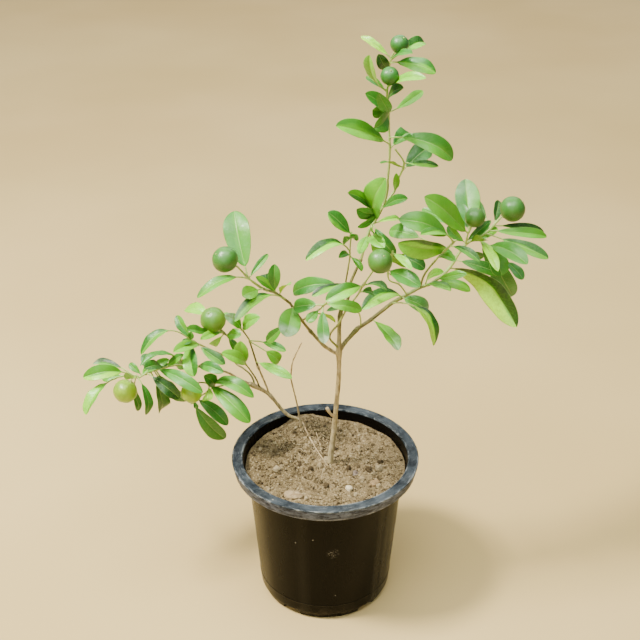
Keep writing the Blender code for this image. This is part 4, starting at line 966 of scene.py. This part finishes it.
def add_leaf(shape, start, tip, width, looks, bow, stalk, fold, flare, colours, shine, luck):
    """Add a leaf: a round stalk that widens into a thin, folded, arching blade."""
    chord = tip - start
    length = np.linalg.norm(chord)
    upper = sum(np.array(TOWARDS[way], float) for way in looks)
    upper = unit(upper - chord * upper.dot(chord) / length**2)
    bend = (start + tip) / 2 + upper * length * bow * 2
    blade = 1 - (1 - np.linspace(0, 1, BLADE_STATIONS)) ** 1.35
    t = np.concatenate([np.linspace(0, stalk, STALK_STATIONS, endpoint=False), stalk + (1 - stalk) * blade])
    along = np.clip((t - stalk) / (1 - stalk), 0, 1)
    spine = np.outer((1 - t) ** 2, start) + np.outer(2 * t * (1 - t), bend) + np.outer(t**2, tip)
    sideways = unit(np.cross(chord, upper))
    droop = smooth_step(along, 0.60, 1.25) * length * luck.uniform(0.02, 0.16)
    spine -= np.outer(droop - t * droop[-1], upper)
    spine += np.outer(np.sin(t * math.pi) * length * luck.uniform(-0.03, 0.03), sideways)
    ahead = unit(np.gradient(spine, axis=0))
    across = unit(np.cross(ahead, upper))
    normal = np.cross(across, ahead)
    twist = (t - 0.4) * math.radians(luck.uniform(-16, 16))
    cosine, sine = np.cos(twist)[:, None], np.sin(twist)[:, None]
    across, normal = across * cosine + normal * sine, normal * cosine - across * sine
    outline = blade_outline(along, luck.uniform(0.52, 0.66))
    half = np.maximum(outline * width / 2, STALK_HALF * (1 - 0.6 * smooth_step(along, 0.5, 1.0)))
    half[-1] = STALK_HALF * 0.15
    half, in_blade = half[:, None], smooth_step(along, 0.0, 0.10)[:, None]
    reach = np.abs(LEAF_COLUMNS)
    inner, outer = math.radians(fold), math.radians(fold - flare)
    fold = (inner + (outer - inner) * reach / 2) * in_blade
    out = half * np.sign(LEAF_COLUMNS) * reach * np.cos(fold)
    lift = half * reach * np.sin(fold)
    phase = luck.uniform(0, math.tau, 2)
    waves = np.sin(along[:, None] * math.tau * luck.uniform(1.6, 2.6) + np.where(LEAF_COLUMNS > 0, *phase))
    lift += half * luck.uniform(0.03, 0.09) * reach**2 * waves * in_blade
    round_top = STALK_HALF * np.sqrt(1 - reach**2) * (1 - in_blade)
    rib = np.exp(-((half * reach / MIDRIB_WIDTH) ** 2))
    top = lift + round_top - rib * MIDRIB_GROOVE * in_blade
    keel = rib * (1 - 0.8 * along)[:, None] * MIDRIB_KEEL * in_blade
    thick = LEAF_THICKNESS * (1 - reach**6) * in_blade
    under = lift - round_top - thick - keel
    middle = slice(1, -1)
    plan = spine[:, None] + across[:, None] * out[..., None]
    top_points, low_points = (plan + normal[:, None] * rise[..., None] for rise in (top, under))
    rings = np.concatenate([top_points, low_points[:, middle][:, ::-1]], axis=1)
    columns = np.concatenate([LEAF_COLUMNS, LEAF_COLUMNS[middle][::-1]])
    slots = np.where(np.arange(len(columns)) < len(LEAF_COLUMNS) - 1, TOP, UNDER)
    slots = np.where(t[:-1, None] < stalk - 0.001, TWIG, slots)
    left, right, split, chalk = colours
    split += 0.12 * np.sin(along * 9.0 + phase[0])
    tone = left + (right - left) * smooth_step(columns - split[:, None], -0.10, 0.10)
    shine = (shine * smooth_step(along, 0.60, 0.88))[:, None]
    ends = [start - ahead[0] * STALK_HALF * 0.5, spine[-1] + ahead[-1] * STALK_HALF * 0.1]
    along = along[:, None]
    shape.sleeve(rings, ends, slots, along=along, across=columns, tone=tone, chalk=chalk, shine=shine)


def add_bud(shape, place, way, size, age):
    """Add a small pointed bud."""
    share = np.linspace(0.06, 0.94, 7)
    points = place + np.outer(share - 0.2, unit(way)) * size
    radii = np.sin(share**0.8 * math.pi) * size * 0.33
    add_stem(shape, points, radii, 8, 0.0, TWIG, age=age)


def make_foliage(finishes):
    """The leafy shoots: each twig with its leaves, their stalks, its buds and its fruit's stalk."""
    for name, (_, fruit, foot, tip, route, leaves) in SHOOTS.items():
        node = name + "_shoot"
        luck = np.random.default_rng(len(node) * 97 + len(leaves) * 31 + abs(route[0][0]))
        shape = Shape("along", "across", "tone", "chalk", "shine", "age")
        coarse = smooth_route(route)
        points = smooth_route(route, STEM_STEPS)
        first = points[0] - unit(points[1] - points[0]) * foot * MM * SUNK
        points = np.concatenate([[first], points])
        if fruit:
            centre, radius, _ = FRUITS[fruit]
            way = spot(*centre) - points[-1]
            stop = np.linalg.norm(way) - radius * MM * 0.96
            points = np.concatenate([points, points[-1] + np.outer([0.4, 0.8, 1.0], unit(way)) * stop])
        share = np.linspace(0, 1, len(points))
        radii = (foot + (tip - foot) * share) * MM
        for leaf_start, *_ in leaves:
            radii += LEAF_KNOT[0] * np.exp(-(((share - leaf_start * 0.98) / LEAF_KNOT[1]) ** 2))
        age = WOODY.get(name, np.clip((foot - 0.95) / 0.75, 0, 1)) * (1 - 0.3 * share)
        add_stem(shape, points, radii, TWIG_COLUMNS, TWIG_LUMP, TWIG, age=age)
        mood = TONES.get(name, USUAL_TONE)
        blades = leaves + FINE_LEAVES.get(name, ())
        styles = dict(enumerate(LEAF_LOOKS.get(name, ())))
        for index, (leaf_start, x, height, back, width, *rest) in enumerate(blades):
            start = along_route(coarse, leaf_start)
            end = spot(x, height, back)
            plain = mood + luck.normal(0, 0.25)
            usual = (plain, plain, 0.0, luck.uniform(0, 0.5))
            colours = styles.get(index) or usual
            fold, flare = luck.uniform(16, 27), luck.uniform(12, 26)
            looks, bow, stalk = (*rest, *(BOW, STALK)[len(rest) - 1:])[:3]
            shine = TIP_SHINE.get((name, index), 0.0)
            form = (width * SPREAD * MM, looks, bow, stalk, fold, flare)
            add_leaf(shape, start, end, *form, colours, shine, luck)
            add_bud(shape, start, end - start + np.array((0, 0, 0.02)), LEAF_BUD, age=0.1)
        if not fruit:
            add_bud(shape, points[-1], points[-1] - points[-2], TIP_BUD, age=0.0)
        settle(shape.build(name + "_foliage", finishes), "leaf", node)


def make_stems(bark, dry):
    """The bare stems, with swellings where others grow from them."""
    children = {}
    for parent, *_, route in [*STEMS.values(), *(shoot[:-1] for shoot in SHOOTS.values())]:
        children.setdefault(parent, []).append(spot(*route[0]))
    for name, (parent, foot, tip, young, route) in STEMS.items():
        shape = Shape("age")
        points = smooth_route(route, STEM_STEPS)
        share = np.linspace(0, 1, len(points))
        radii = (foot + (tip - foot) * share) * MM
        if parent:
            points[0] -= unit(points[1] - points[0]) * foot * MM * SUNK
        else:
            radii *= 0.94 + 0.22 * np.exp(-share * 9)
        for place in children.get(name, []):
            gap = np.linalg.norm(points - place, axis=1)
            radii += STEM_KNOT[0] * np.exp(-((gap / STEM_KNOT[1]) ** 2))
        radii *= 1 + 0.10 * noise_row(share * 14 + foot * 5)
        age = smooth_step(points[:, 2], young[0] * MM, young[1] * MM) * YOUNGEST
        add_stem(shape, points, radii, STEM_COLUMNS, STEM_LUMP, age=age)
        if name == "trunk":
            foot, tip, route = STUB
            stub = smooth_route(route, 5)
            knob = 0.9 + 0.5 * smooth_step(np.linspace(0, 1, len(stub)), 0.45, 0.85)
            add_stem(shape, stub, np.linspace(foot, tip, len(stub)) * knob * MM, 12, 0.0004, 1)
        wood, slot = (dry, "dry_wood") if name == "dry_twig" else (bark, "bark")
        settle(shape.build(name + "_wood", [wood, dry]), slot, name)


def make_fruits(peel, calyx):
    """The fruit: slightly flat balls with a dimple at each end and a star of sepals."""
    holders = {fruit: smooth_route(route)[-1] for _, fruit, _, _, route, _ in SHOOTS.values() if fruit}
    for name, (centre, radius, ripe) in FRUITS.items():
        luck = np.random.default_rng(int(centre[0] + 500))
        middle = spot(*centre)
        axis = unit(middle - holders[name])
        side = unit(np.cross(axis, (0.3, 0.8, 0.5)))
        other = np.cross(axis, side)
        shape = Shape("ripe", "lift")
        pole = np.linspace(0, math.pi, FRUIT_STATIONS)[1:-1]
        turn = np.linspace(0, math.tau, FRUIT_COLUMNS, endpoint=False)
        down, round_ = np.cos(pole)[:, None], np.sin(pole)[:, None]
        cosine, sine, size = np.cos(turn), np.sin(turn), radius * MM
        dimple = 0.05 * np.exp(-((pole - math.pi) / 0.28) ** 2) + 0.035 * np.exp(-((pole / 0.16) ** 2))
        ribs = 0.010 * np.cos(turn * SEPALS + luck.uniform(0, 6)) * round_
        scale = (1 - dimple[:, None] + ribs) * size
        ball = axis * (down * FRUIT_HEIGHT * scale)[..., None]
        ball = ball + side * (round_ * cosine * scale)[..., None] + other * (round_ * sine * scale)[..., None]
        lumps = ripple((ball + middle).reshape(-1, 3), 0.007, centre[0]).reshape(ball.shape[:2])
        ball *= 1 + 0.012 * lumps[..., None]
        tips = [middle + axis * size * FRUIT_HEIGHT * 0.965, middle - axis * size * FRUIT_HEIGHT * 0.95]
        # The lift mark: how far each point faces the side painted with a sheen
        lift = ball @ unit(FRUIT_SHEEN_SIDE) / size
        shape.sleeve(middle + ball, tips, 0, ripe=ripe, lift=lift)
        nub = middle + axis * size * 0.94
        add_stem(shape, nub + np.outer((0.0, 0.3, 0.6), axis) * MM, (0.0009, 0.0008, 0.0005), 10, 0.0, 1)
        seat = middle - axis * size * 0.93
        share = np.linspace(0.15, 1.0, 8)
        star = 0.72 + 0.28 * np.cos(turn * SEPALS)
        rim = share[:, None] * (star * 0.0030 * radius / 12)
        sag = 0.0012 * (share**2)[:, None]
        top = seat + side * (rim * cosine)[..., None] + other * (rim * sine)[..., None]
        above = top - axis * (0.0010 - sag * 0.9)[..., None]
        below = (top + axis * (sag * 0.9 + 0.0002)[..., None])[::-1]
        shape.sleeve(np.concatenate([above, below]), [seat - axis * 0.0010, seat + axis * 0.0003], 1)
        settle(shape.build("citrus_" + name, [peel, calyx]), "fruit_peel", "fruit_" + name)


def wall_radius(height):
    """Return the radius of the pot's inner wall at a height."""
    top = POT_HEIGHT - LIP_HEIGHT
    share = (height - FOOT_HEIGHT) / (top - FOOT_HEIGHT)
    return BODY_LOW_RADIUS + (BODY_TOP_RADIUS - BODY_LOW_RADIUS) * share - WALL


def rounded(corners):
    """Return the outline with each corner (radius, height, round) turned into a small arc."""
    outline = []
    for index, (x, z, size) in enumerate(corners):
        here = np.array((x, z))
        if not size:
            outline.append(here)
            continue
        before = np.array(corners[index - 1][:2]) - here
        after = np.array(corners[(index + 1) % len(corners)][:2]) - here
        reach = min(size, np.linalg.norm(before) * 0.45, np.linalg.norm(after) * 0.45)
        start, end = here + unit(before) * reach, here + unit(after) * reach
        for t in np.linspace(0, 1, 5):
            outline.append(start * (1 - t) ** 2 + here * 2 * t * (1 - t) + end * t**2)
    return np.array(outline)


def make_pot(finish):
    """The nursery pot: thin walls, a wide flat rim, a turned-down lip, a bead and foot notches."""
    top, lip, bead = POT_HEIGHT, POT_HEIGHT - LIP_HEIGHT, POT_HEIGHT - BEAD_DROP
    bead_radius = wall_radius(bead) + WALL
    low_line = wall_radius(LOW_LINE) + WALL
    corners = (
        (FOOT_RADIUS - WALL * 2, FLOOR_THICKNESS, 0.001),
        (wall_radius(FOOT_HEIGHT), FOOT_HEIGHT, 0.001),
        (wall_radius(SHOULDER_FOOT), SHOULDER_FOOT, 0.001),
        (SHOULDER_RADIUS - WALL, SHOULDER_HEIGHT, 0.001),
        (RIM_INNER_RADIUS, top - 0.002, 0.001),
        (RIM_INNER_RADIUS + 0.001, top, 0.0008),
        (RIM_INNER_RADIUS + 0.0022, top, 0.0004),
        (RIM_INNER_RADIUS + 0.0030, top - 0.0005, 0.0004),
        (RIM_RADIUS - 0.0034, top - 0.0005, 0.0004),
        (RIM_RADIUS - 0.0026, top, 0.0004),
        (RIM_RADIUS - 0.0005, top, 0.0012),
        (LIP_LOWER_RADIUS + 0.0004, lip, 0.0006),
        (LIP_LOWER_RADIUS - WALL, lip, 0.0005),
        (RIM_RADIUS - WALL * 1.6, top - WALL, 0.001),
        (RIM_INNER_RADIUS + WALL, top - WALL, 0.001),
        (SHOULDER_RADIUS, SHOULDER_HEIGHT, 0.001),
        (wall_radius(SHOULDER_FOOT) + WALL, SHOULDER_FOOT, 0.001),
        (bead_radius, bead + 0.0012, 0.0004),
        (bead_radius + BEAD_PROUD, bead + 0.0004, 0.0006),
        (bead_radius + BEAD_PROUD, bead - 0.0004, 0.0006),
        (bead_radius, bead - 0.0012, 0.0004),
        (low_line, LOW_LINE + 0.0008, 0.0003),
        (low_line + 0.0004, LOW_LINE, 0.0004),
        (low_line, LOW_LINE - 0.0008, 0.0003),
        (BODY_LOW_RADIUS, FOOT_HEIGHT, 0.0012),
        (FOOT_RADIUS + 0.0015, FOOT_HEIGHT - 0.001, 0.0008),
        (FOOT_RADIUS, 0.0, 0.0010),
    )
    outline = rounded(corners)
    across, height = outline.T[..., None]
    turn = np.linspace(0, math.tau, POT_COLUMNS, endpoint=False)
    sway = 1.0015 + 0.0010 * np.cos(2 * turn + 0.6) + 0.0005 * np.cos(5 * turn)
    places = np.broadcast_arrays(across * np.cos(turn) * sway, across * np.sin(turn) * sway, height)
    rings = np.stack(places, axis=-1)
    shape = Shape()
    shape.sleeve(rings, [(0, 0, FLOOR_THICKNESS), (0, 0, 0)], 0)
    pot = shape.build("pot_shell", [finish])
    cutters = []
    for index in range(NOTCH_COUNT):
        cutters.append(notch_cutter(NOTCH_TURN - math.pi / 2 + math.tau * (index + 0.5) / NOTCH_COUNT))
        step = pot.modifiers.new("notch", "BOOLEAN")
        step.operation, step.solver, step.object = "DIFFERENCE", "EXACT", cutters[-1]
    apply_modifiers(pot)
    for cutter in cutters:
        bpy.data.objects.remove(cutter, do_unlink=True)
    pot.data.set_sharp_from_angle(angle=POT_SHARP)
    settle(pot, "pot_plastic", "nursery_pot")


def apply_modifiers(piece):
    """Turn the piece's modifiers into its own mesh."""
    graph = bpy.context.evaluated_depsgraph_get()
    mesh = bpy.data.meshes.new_from_object(piece.evaluated_get(graph))
    piece.modifiers.clear()
    piece.data = mesh


def notch_cutter(angle):
    """Return a block with a rounded top that cuts one drain notch out of the pot's foot."""
    work = bmesh.new()
    half = NOTCH_WIDTH / 2
    arch = [(-half, -NOTCH_BELOW)]
    for turn in np.linspace(0, math.pi, 9):
        arch.append((half * math.cos(math.pi - turn), NOTCH_HEIGHT * (0.55 + 0.45 * math.sin(turn))))
    arch.append((half, -NOTCH_BELOW))
    rows = [[work.verts.new((x, y, z)) for y, z in arch] for x in NOTCH_REACH]
    for row in rows:
        work.faces.new(row)
    for index in range(len(arch)):
        after = (index + 1) % len(arch)
        work.faces.new((rows[0][index], rows[0][after], rows[1][after], rows[1][index]))
    bmesh.ops.recalc_face_normals(work, faces=work.faces)
    bmesh.ops.rotate(work, verts=work.verts, cent=(0, 0, 0), matrix=Matrix.Rotation(angle, 3, "Z"))
    return place_object("notch", worked_mesh("notch", work))


def soil_height(x, y):
    """Return the height of the soil's smooth surface: flat lumps, and a mound."""
    reach = np.hypot(x - SOIL_MOUND_PLACE[0], y - SOIL_MOUND_PLACE[1]) / SOIL_MOUND_REACH
    lumps = np.sin(x * 95 + 1) * np.cos(y * 120) * SOIL_LUMP
    return SOIL_TOP + lumps + SOIL_MOUND * np.exp(-reach * reach)


def make_soil(finish):
    """The bed of soil: a solid that fills the pot, with a crumbly top."""
    turn = np.linspace(0, math.tau, SOIL_COLUMNS, endpoint=False)
    rows = []
    for share in np.linspace(0.015, 1.0, SOIL_RINGS):
        x, y = SOIL_EDGE * share * np.cos(turn), SOIL_EDGE * share * np.sin(turn)
        z = soil_height(x, y)
        flat = np.stack([x, y, z], axis=1)
        broken = np.exp(-((np.hypot(x - BROKEN_SOIL[0], y - BROKEN_SOIL[1]) / BROKEN_REACH) ** 2))
        swell = ripple(flat, 0.013) * 0.0012
        crumbs = ripple(flat, 0.0050, 3.0) * 0.0012 + ripple(flat, 0.0021, 9.0) * 0.0011
        crumbs += broken * (ripple(flat, 0.0075, 5.0) * 0.0036 - 0.0008)
        calm = 1 - 0.6 * smooth_step(np.full_like(x, share), 0.93, 1.0)
        rows.append((x, y, z + (swell + crumbs) * calm, crumbs * calm))
    for radius, height in (
        (SOIL_EDGE, SHOULDER_HEIGHT),
        (wall_radius(SHOULDER_FOOT) - SOIL_GAP, SHOULDER_FOOT),
        (wall_radius(FOOT_HEIGHT) - SOIL_GAP, FOOT_HEIGHT),
        (FOOT_RADIUS - WALL * 2 - SOIL_GAP * 2, SOIL_FOOT),
    ):
        level = np.full_like(turn, height)
        rows.append((radius * np.cos(turn), radius * np.sin(turn), level, np.zeros_like(turn)))
    rings = np.array([np.stack(row[:3], axis=1) for row in rows])
    relief = np.array([row[3] for row in rows]) / SOIL_RELIEF + 0.5
    shape = Shape("relief")
    shape.sleeve(rings, [(0, 0, rings[0, :, 2].mean()), (0, 0, SOIL_FOOT)], 0, relief=relief)
    settle(shape.build("soil_bed", [finish]), "sandy_soil", "potting_soil")


def rock(luck, subdivisions, rough):
    """Return the points and faces of an uneven ball of radius 1."""
    work = bmesh.new()
    bmesh.ops.create_icosphere(work, subdivisions=subdivisions, radius=1.0)
    points = np.array([corner.co for corner in work.verts])
    faces = [tuple(corner.index for corner in face.verts) for face in work.faces]
    work.free()
    seed = luck.uniform(0, 100)
    points *= (1 + rough * ripple(points, 0.9, seed) + rough * 0.4 * ripple(points, 0.35, seed))[:, None]
    return points, faces


def scatter_crumbs(name, luck, finish, count, smallest, spread, largest, detail):
    """Make loose crumbs that lie on the soil, more of them where it is broken open."""
    shape = Shape("relief")
    patterns = [rock(luck, detail, 0.45) for _ in range(CRUMB_PATTERNS)]
    for index in range(count):
        size = min(smallest + spread * luck.pareto(2.6), largest)
        x, y = np.array(BROKEN_SOIL) + luck.normal(0, BROKEN_REACH * 0.8, 2)
        if index % 6 or math.hypot(x, y) > CRUMB_EDGE - size:
            distance = (CRUMB_EDGE - size) * math.sqrt(luck.uniform(0, 1))
            angle = luck.uniform(0, math.tau)
            x, y = distance * math.cos(angle), distance * math.sin(angle)
        points, faces = patterns[luck.integers(0, len(patterns))]
        spin = np.array(Matrix.Rotation(luck.uniform(0, math.tau), 3, luck.normal(size=3).tolist()))
        squeeze = luck.uniform(0.65, 1.0, 3) * size
        z = float(soil_height(x, y)) + size * luck.uniform(0.0, 0.5)
        shape.add((points * squeeze) @ spin.T + (x, y, z), faces, relief=luck.uniform(0.16, 1.0))
    settle(shape.build(name, [finish]), "sandy_soil")


def make_crumbs(finish):
    """The loose grains and lumps of the soil."""
    luck = np.random.default_rng(CRUMB_SEED)
    for name, sizes in CRUMBS.items():
        scatter_crumbs(name, luck, finish, *sizes)


def make_straws(finish):
    """Thin dry roots and straws that lie on the soil."""
    shape = Shape("age")
    for route, radius in STRAWS:
        x, y, lift = np.array(route).T * MM
        points = smooth_row(np.stack([x, y, soil_height(x, y) + lift], axis=1), 4)
        radii = np.linspace(radius, radius * 0.6, len(points)) * MM
        add_stem(shape, points, radii, 8, radius * 0.0002)
    settle(shape.build("surface_roots", [finish]), "dry_wood")


def make_stones():
    """The small stones on the soil."""
    for name, (place, size, turn, dark, light) in STONES.items():
        luck = np.random.default_rng(place[0] + 90)
        points, faces = rock(luck, STONE_DETAIL, 0.22)
        facets = np.round(points * 2.2) / 2.2
        points = points * 0.82 + facets * 0.18
        x, y, z = (points / np.abs(points).max(axis=0) * (np.array(size) * MM / 2)).T
        cosine, sine = math.cos(math.radians(turn)), math.sin(math.radians(turn))
        turned = np.stack([x * cosine - y * sine, x * sine + y * cosine, z], axis=1)
        shape = Shape()
        shape.add(turned + np.array(place) * MM, faces)
        finish = stone_finish("stone_" + name, dark, light)
        settle(shape.build("pebble_" + name, [finish]), "stone", "stone_" + name)


# The room


def make_floor():
    """A plain pale floor that the pot stands on."""
    work = bmesh.new()
    bmesh.ops.create_circle(work, cap_ends=True, segments=96, radius=FLOOR_RADIUS)
    floor = place_object("floor", worked_mesh("floor", work))
    floor.data.materials.append(floor_finish())


def add_light(name, place, target, width, height, power, colour):
    """Add a soft light that looks at a point."""
    lamp = bpy.data.lights.new(name, "AREA")
    lamp.shape, lamp.size, lamp.size_y = "RECTANGLE", width, height
    lamp.energy, lamp.color = power, colour
    holder = place_object(name, lamp)
    holder.location = place
    holder.rotation_euler = (Vector(target) - Vector(place)).to_track_quat("-Z", "Y").to_euler()


def light_room():
    """Soft daylight from all round, stronger from above and the left."""
    world = bpy.data.worlds.new("daylight")
    world.use_nodes = True
    sky = world.node_tree.nodes["Background"]
    sky.inputs["Color"].default_value = (*SKY_COLOUR, 1.0)
    sky.inputs["Strength"].default_value = SKY_STRENGTH
    bpy.context.scene.world = world
    for name, *rest in LIGHTS:
        add_light(name, *rest)


def add_camera():
    """Set the camera where the plant is seen from."""
    data = bpy.data.cameras.new("camera")
    data.sensor_width = SENSOR
    data.lens = LENS
    camera = place_object("camera", data)
    camera.location = CAMERA_PLACE
    camera.rotation_euler = (math.radians(90 - CAMERA_DOWN), 0, 0)
    bpy.context.scene.camera = camera


reset_stage()
make_floor()
light_room()
add_camera()
make_pot(pot_finish())
soil = soil_finish()
make_soil(soil)
make_crumbs(soil)
make_stones()
living, dry = bark_finish("bark", *BARK), bark_finish("dry_wood", *DRY_WOOD)
make_straws(dry)
make_stems(living, dry)
make_foliage([leaf_top_finish(), leaf_under_finish(), twig_finish()])
make_fruits(peel_finish(), calyx_finish())
